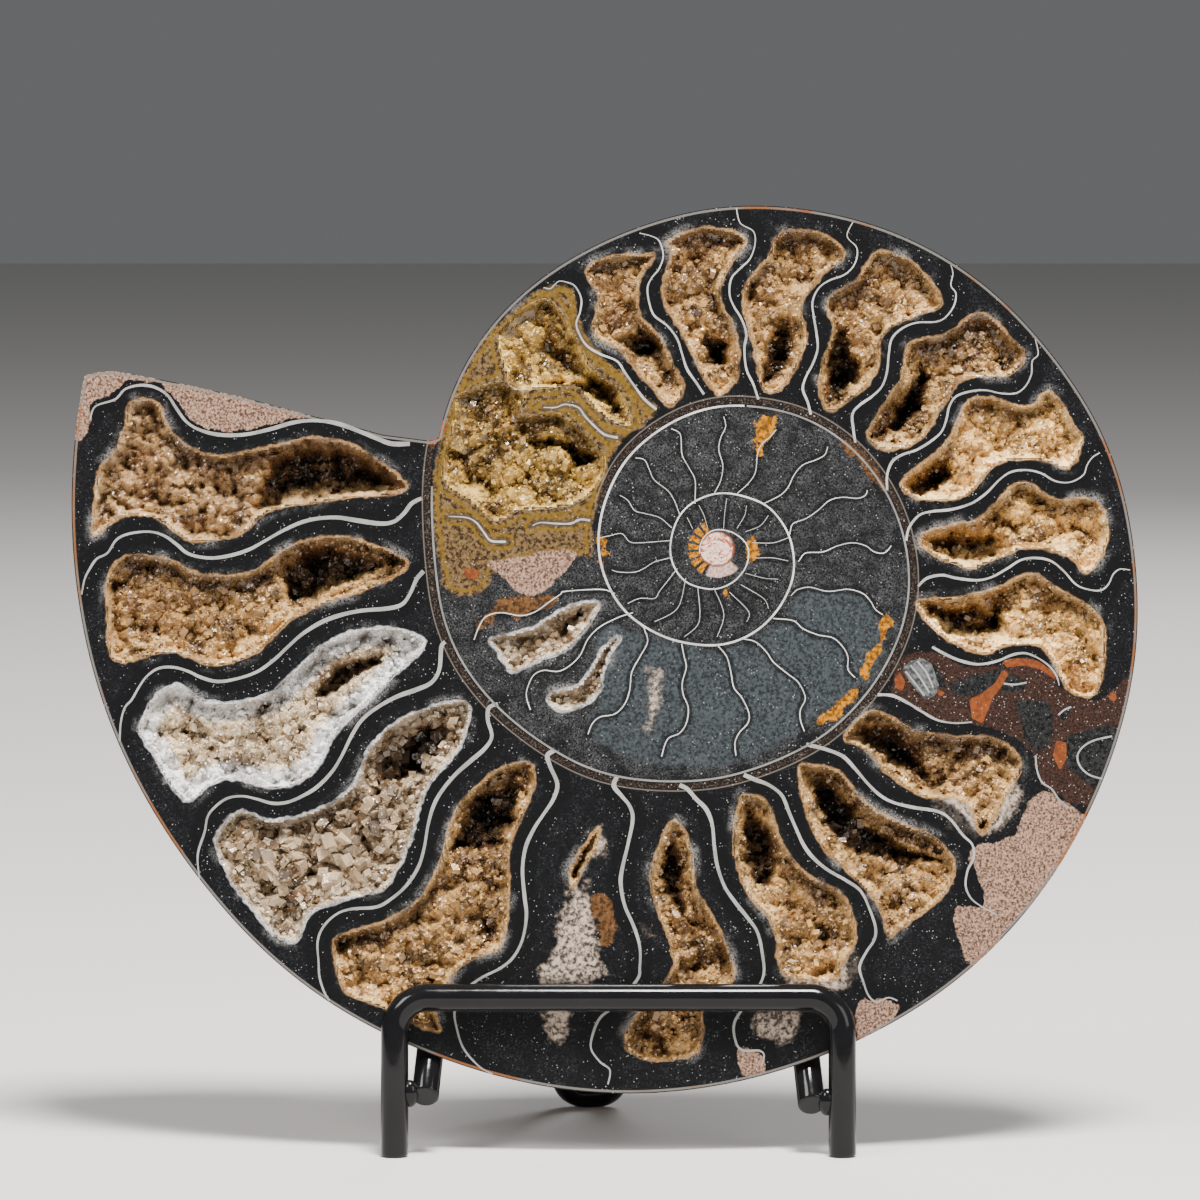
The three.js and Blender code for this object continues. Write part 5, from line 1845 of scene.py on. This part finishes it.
@dataclass(frozen=True)
class Studio:
    """The plain floor, the soft lamps and the camera that looks as the picture does."""

    camera_place: tuple = (-0.00064, -1.2125, 0.171)
    camera_target: tuple = (-0.00064, -0.0134, 0.0837)
    lens: float = 236.0
    sensor: float = 36.0
    floor_width: float = 9.0
    world: tuple = (0.62, 0.63, 0.65)
    world_strength: float = 0.22
    lamps: tuple = field(default_factory=lambda: (
        SoftBox("key_box", (-0.75, -0.75, 0.95), (0, 0, 0.07), 0.45, 13.0, (1.0, 0.96, 0.91)),
        SoftBox("fill_box", (0.95, -0.8, 0.55), (0, 0, 0.07), 0.6, 5.5, (1.0, 0.97, 0.94)),
        SoftBox("top_box", (0.14, -0.5, 1.22), (0, 0, 0.07), 0.34, 58.0, (1.0, 0.98, 0.95)),
        SoftBox("back_box", (0.4, 1.1, 0.8), (0, 0, 0.08), 0.6, 8.0),
    ))

    def build(self) -> None:
        """Sets up the floor, the lamps, the world and the camera."""
        shape = bmesh.new()
        bmesh.ops.create_grid(shape, x_segments=24, y_segments=24, size=self.floor_width / 2)
        floor = new_piece("floor", shape)
        floor.data.materials.append(floor_material())
        [lamp.build() for lamp in self.lamps]
        world = bpy.data.worlds.new("soft_room")
        world.use_nodes = True
        sky = world.node_tree.nodes["Background"]
        sky.inputs["Color"].default_value = (*self.world, 1.0)
        sky.inputs["Strength"].default_value = self.world_strength
        bpy.context.scene.world = world
        lens = bpy.data.cameras.new("camera")
        lens.lens = self.lens
        lens.sensor_width = self.sensor
        holder = bpy.data.objects.new("camera", lens)
        holder.location = self.camera_place
        way = Vector(self.camera_target) - Vector(self.camera_place)
        holder.rotation_euler = way.to_track_quat("-Z", "Y").to_euler()
        bpy.context.scene.collection.objects.link(holder)
        bpy.context.scene.camera = holder


def build_fossil() -> None:
    """Builds the fossil's face, back, walls and crystals."""
    settle(PolishedFace().build(), PolishedStone().material(), "polished_fossil", "ammonite")
    settle(ShellBack().build(), shell_material(), "polished_fossil", "ammonite")
    settle(Ribbons().build(), wall_material(), "polished_fossil")
    materials = {finish.kind: finish.material() for finish in CRYSTAL_FINISHES}
    crust = CrystalCrust()
    for number, hollow in enumerate(HOLLOWS):
        piece = crust.build(hollow, 1.0 + number)
        settle(piece, materials[hollow.crust], "calcite_crystals", hollow.node)


def build_stand() -> None:
    """Builds the two bent rods of the stand."""
    stand = WireStand()
    lacquer = lacquer_material()
    front = stand.build("front_wire", stand.front_corners(), True, False)
    settle(front, lacquer, "black_lacquer", "front_frame")
    back = stand.build("back_wire", stand.back_corners(), False, True)
    settle(back, lacquer, "black_lacquer", "back_frame")


def main() -> None:
    """Builds the studio, the fossil and the stand; each piece's face count is logged as it is settled."""
    logging.basicConfig(level=logging.INFO, format="%(name)s: %(message)s")
    Studio().build()
    build_fossil()
    build_stand()


if __name__ == "__main__":
    main()
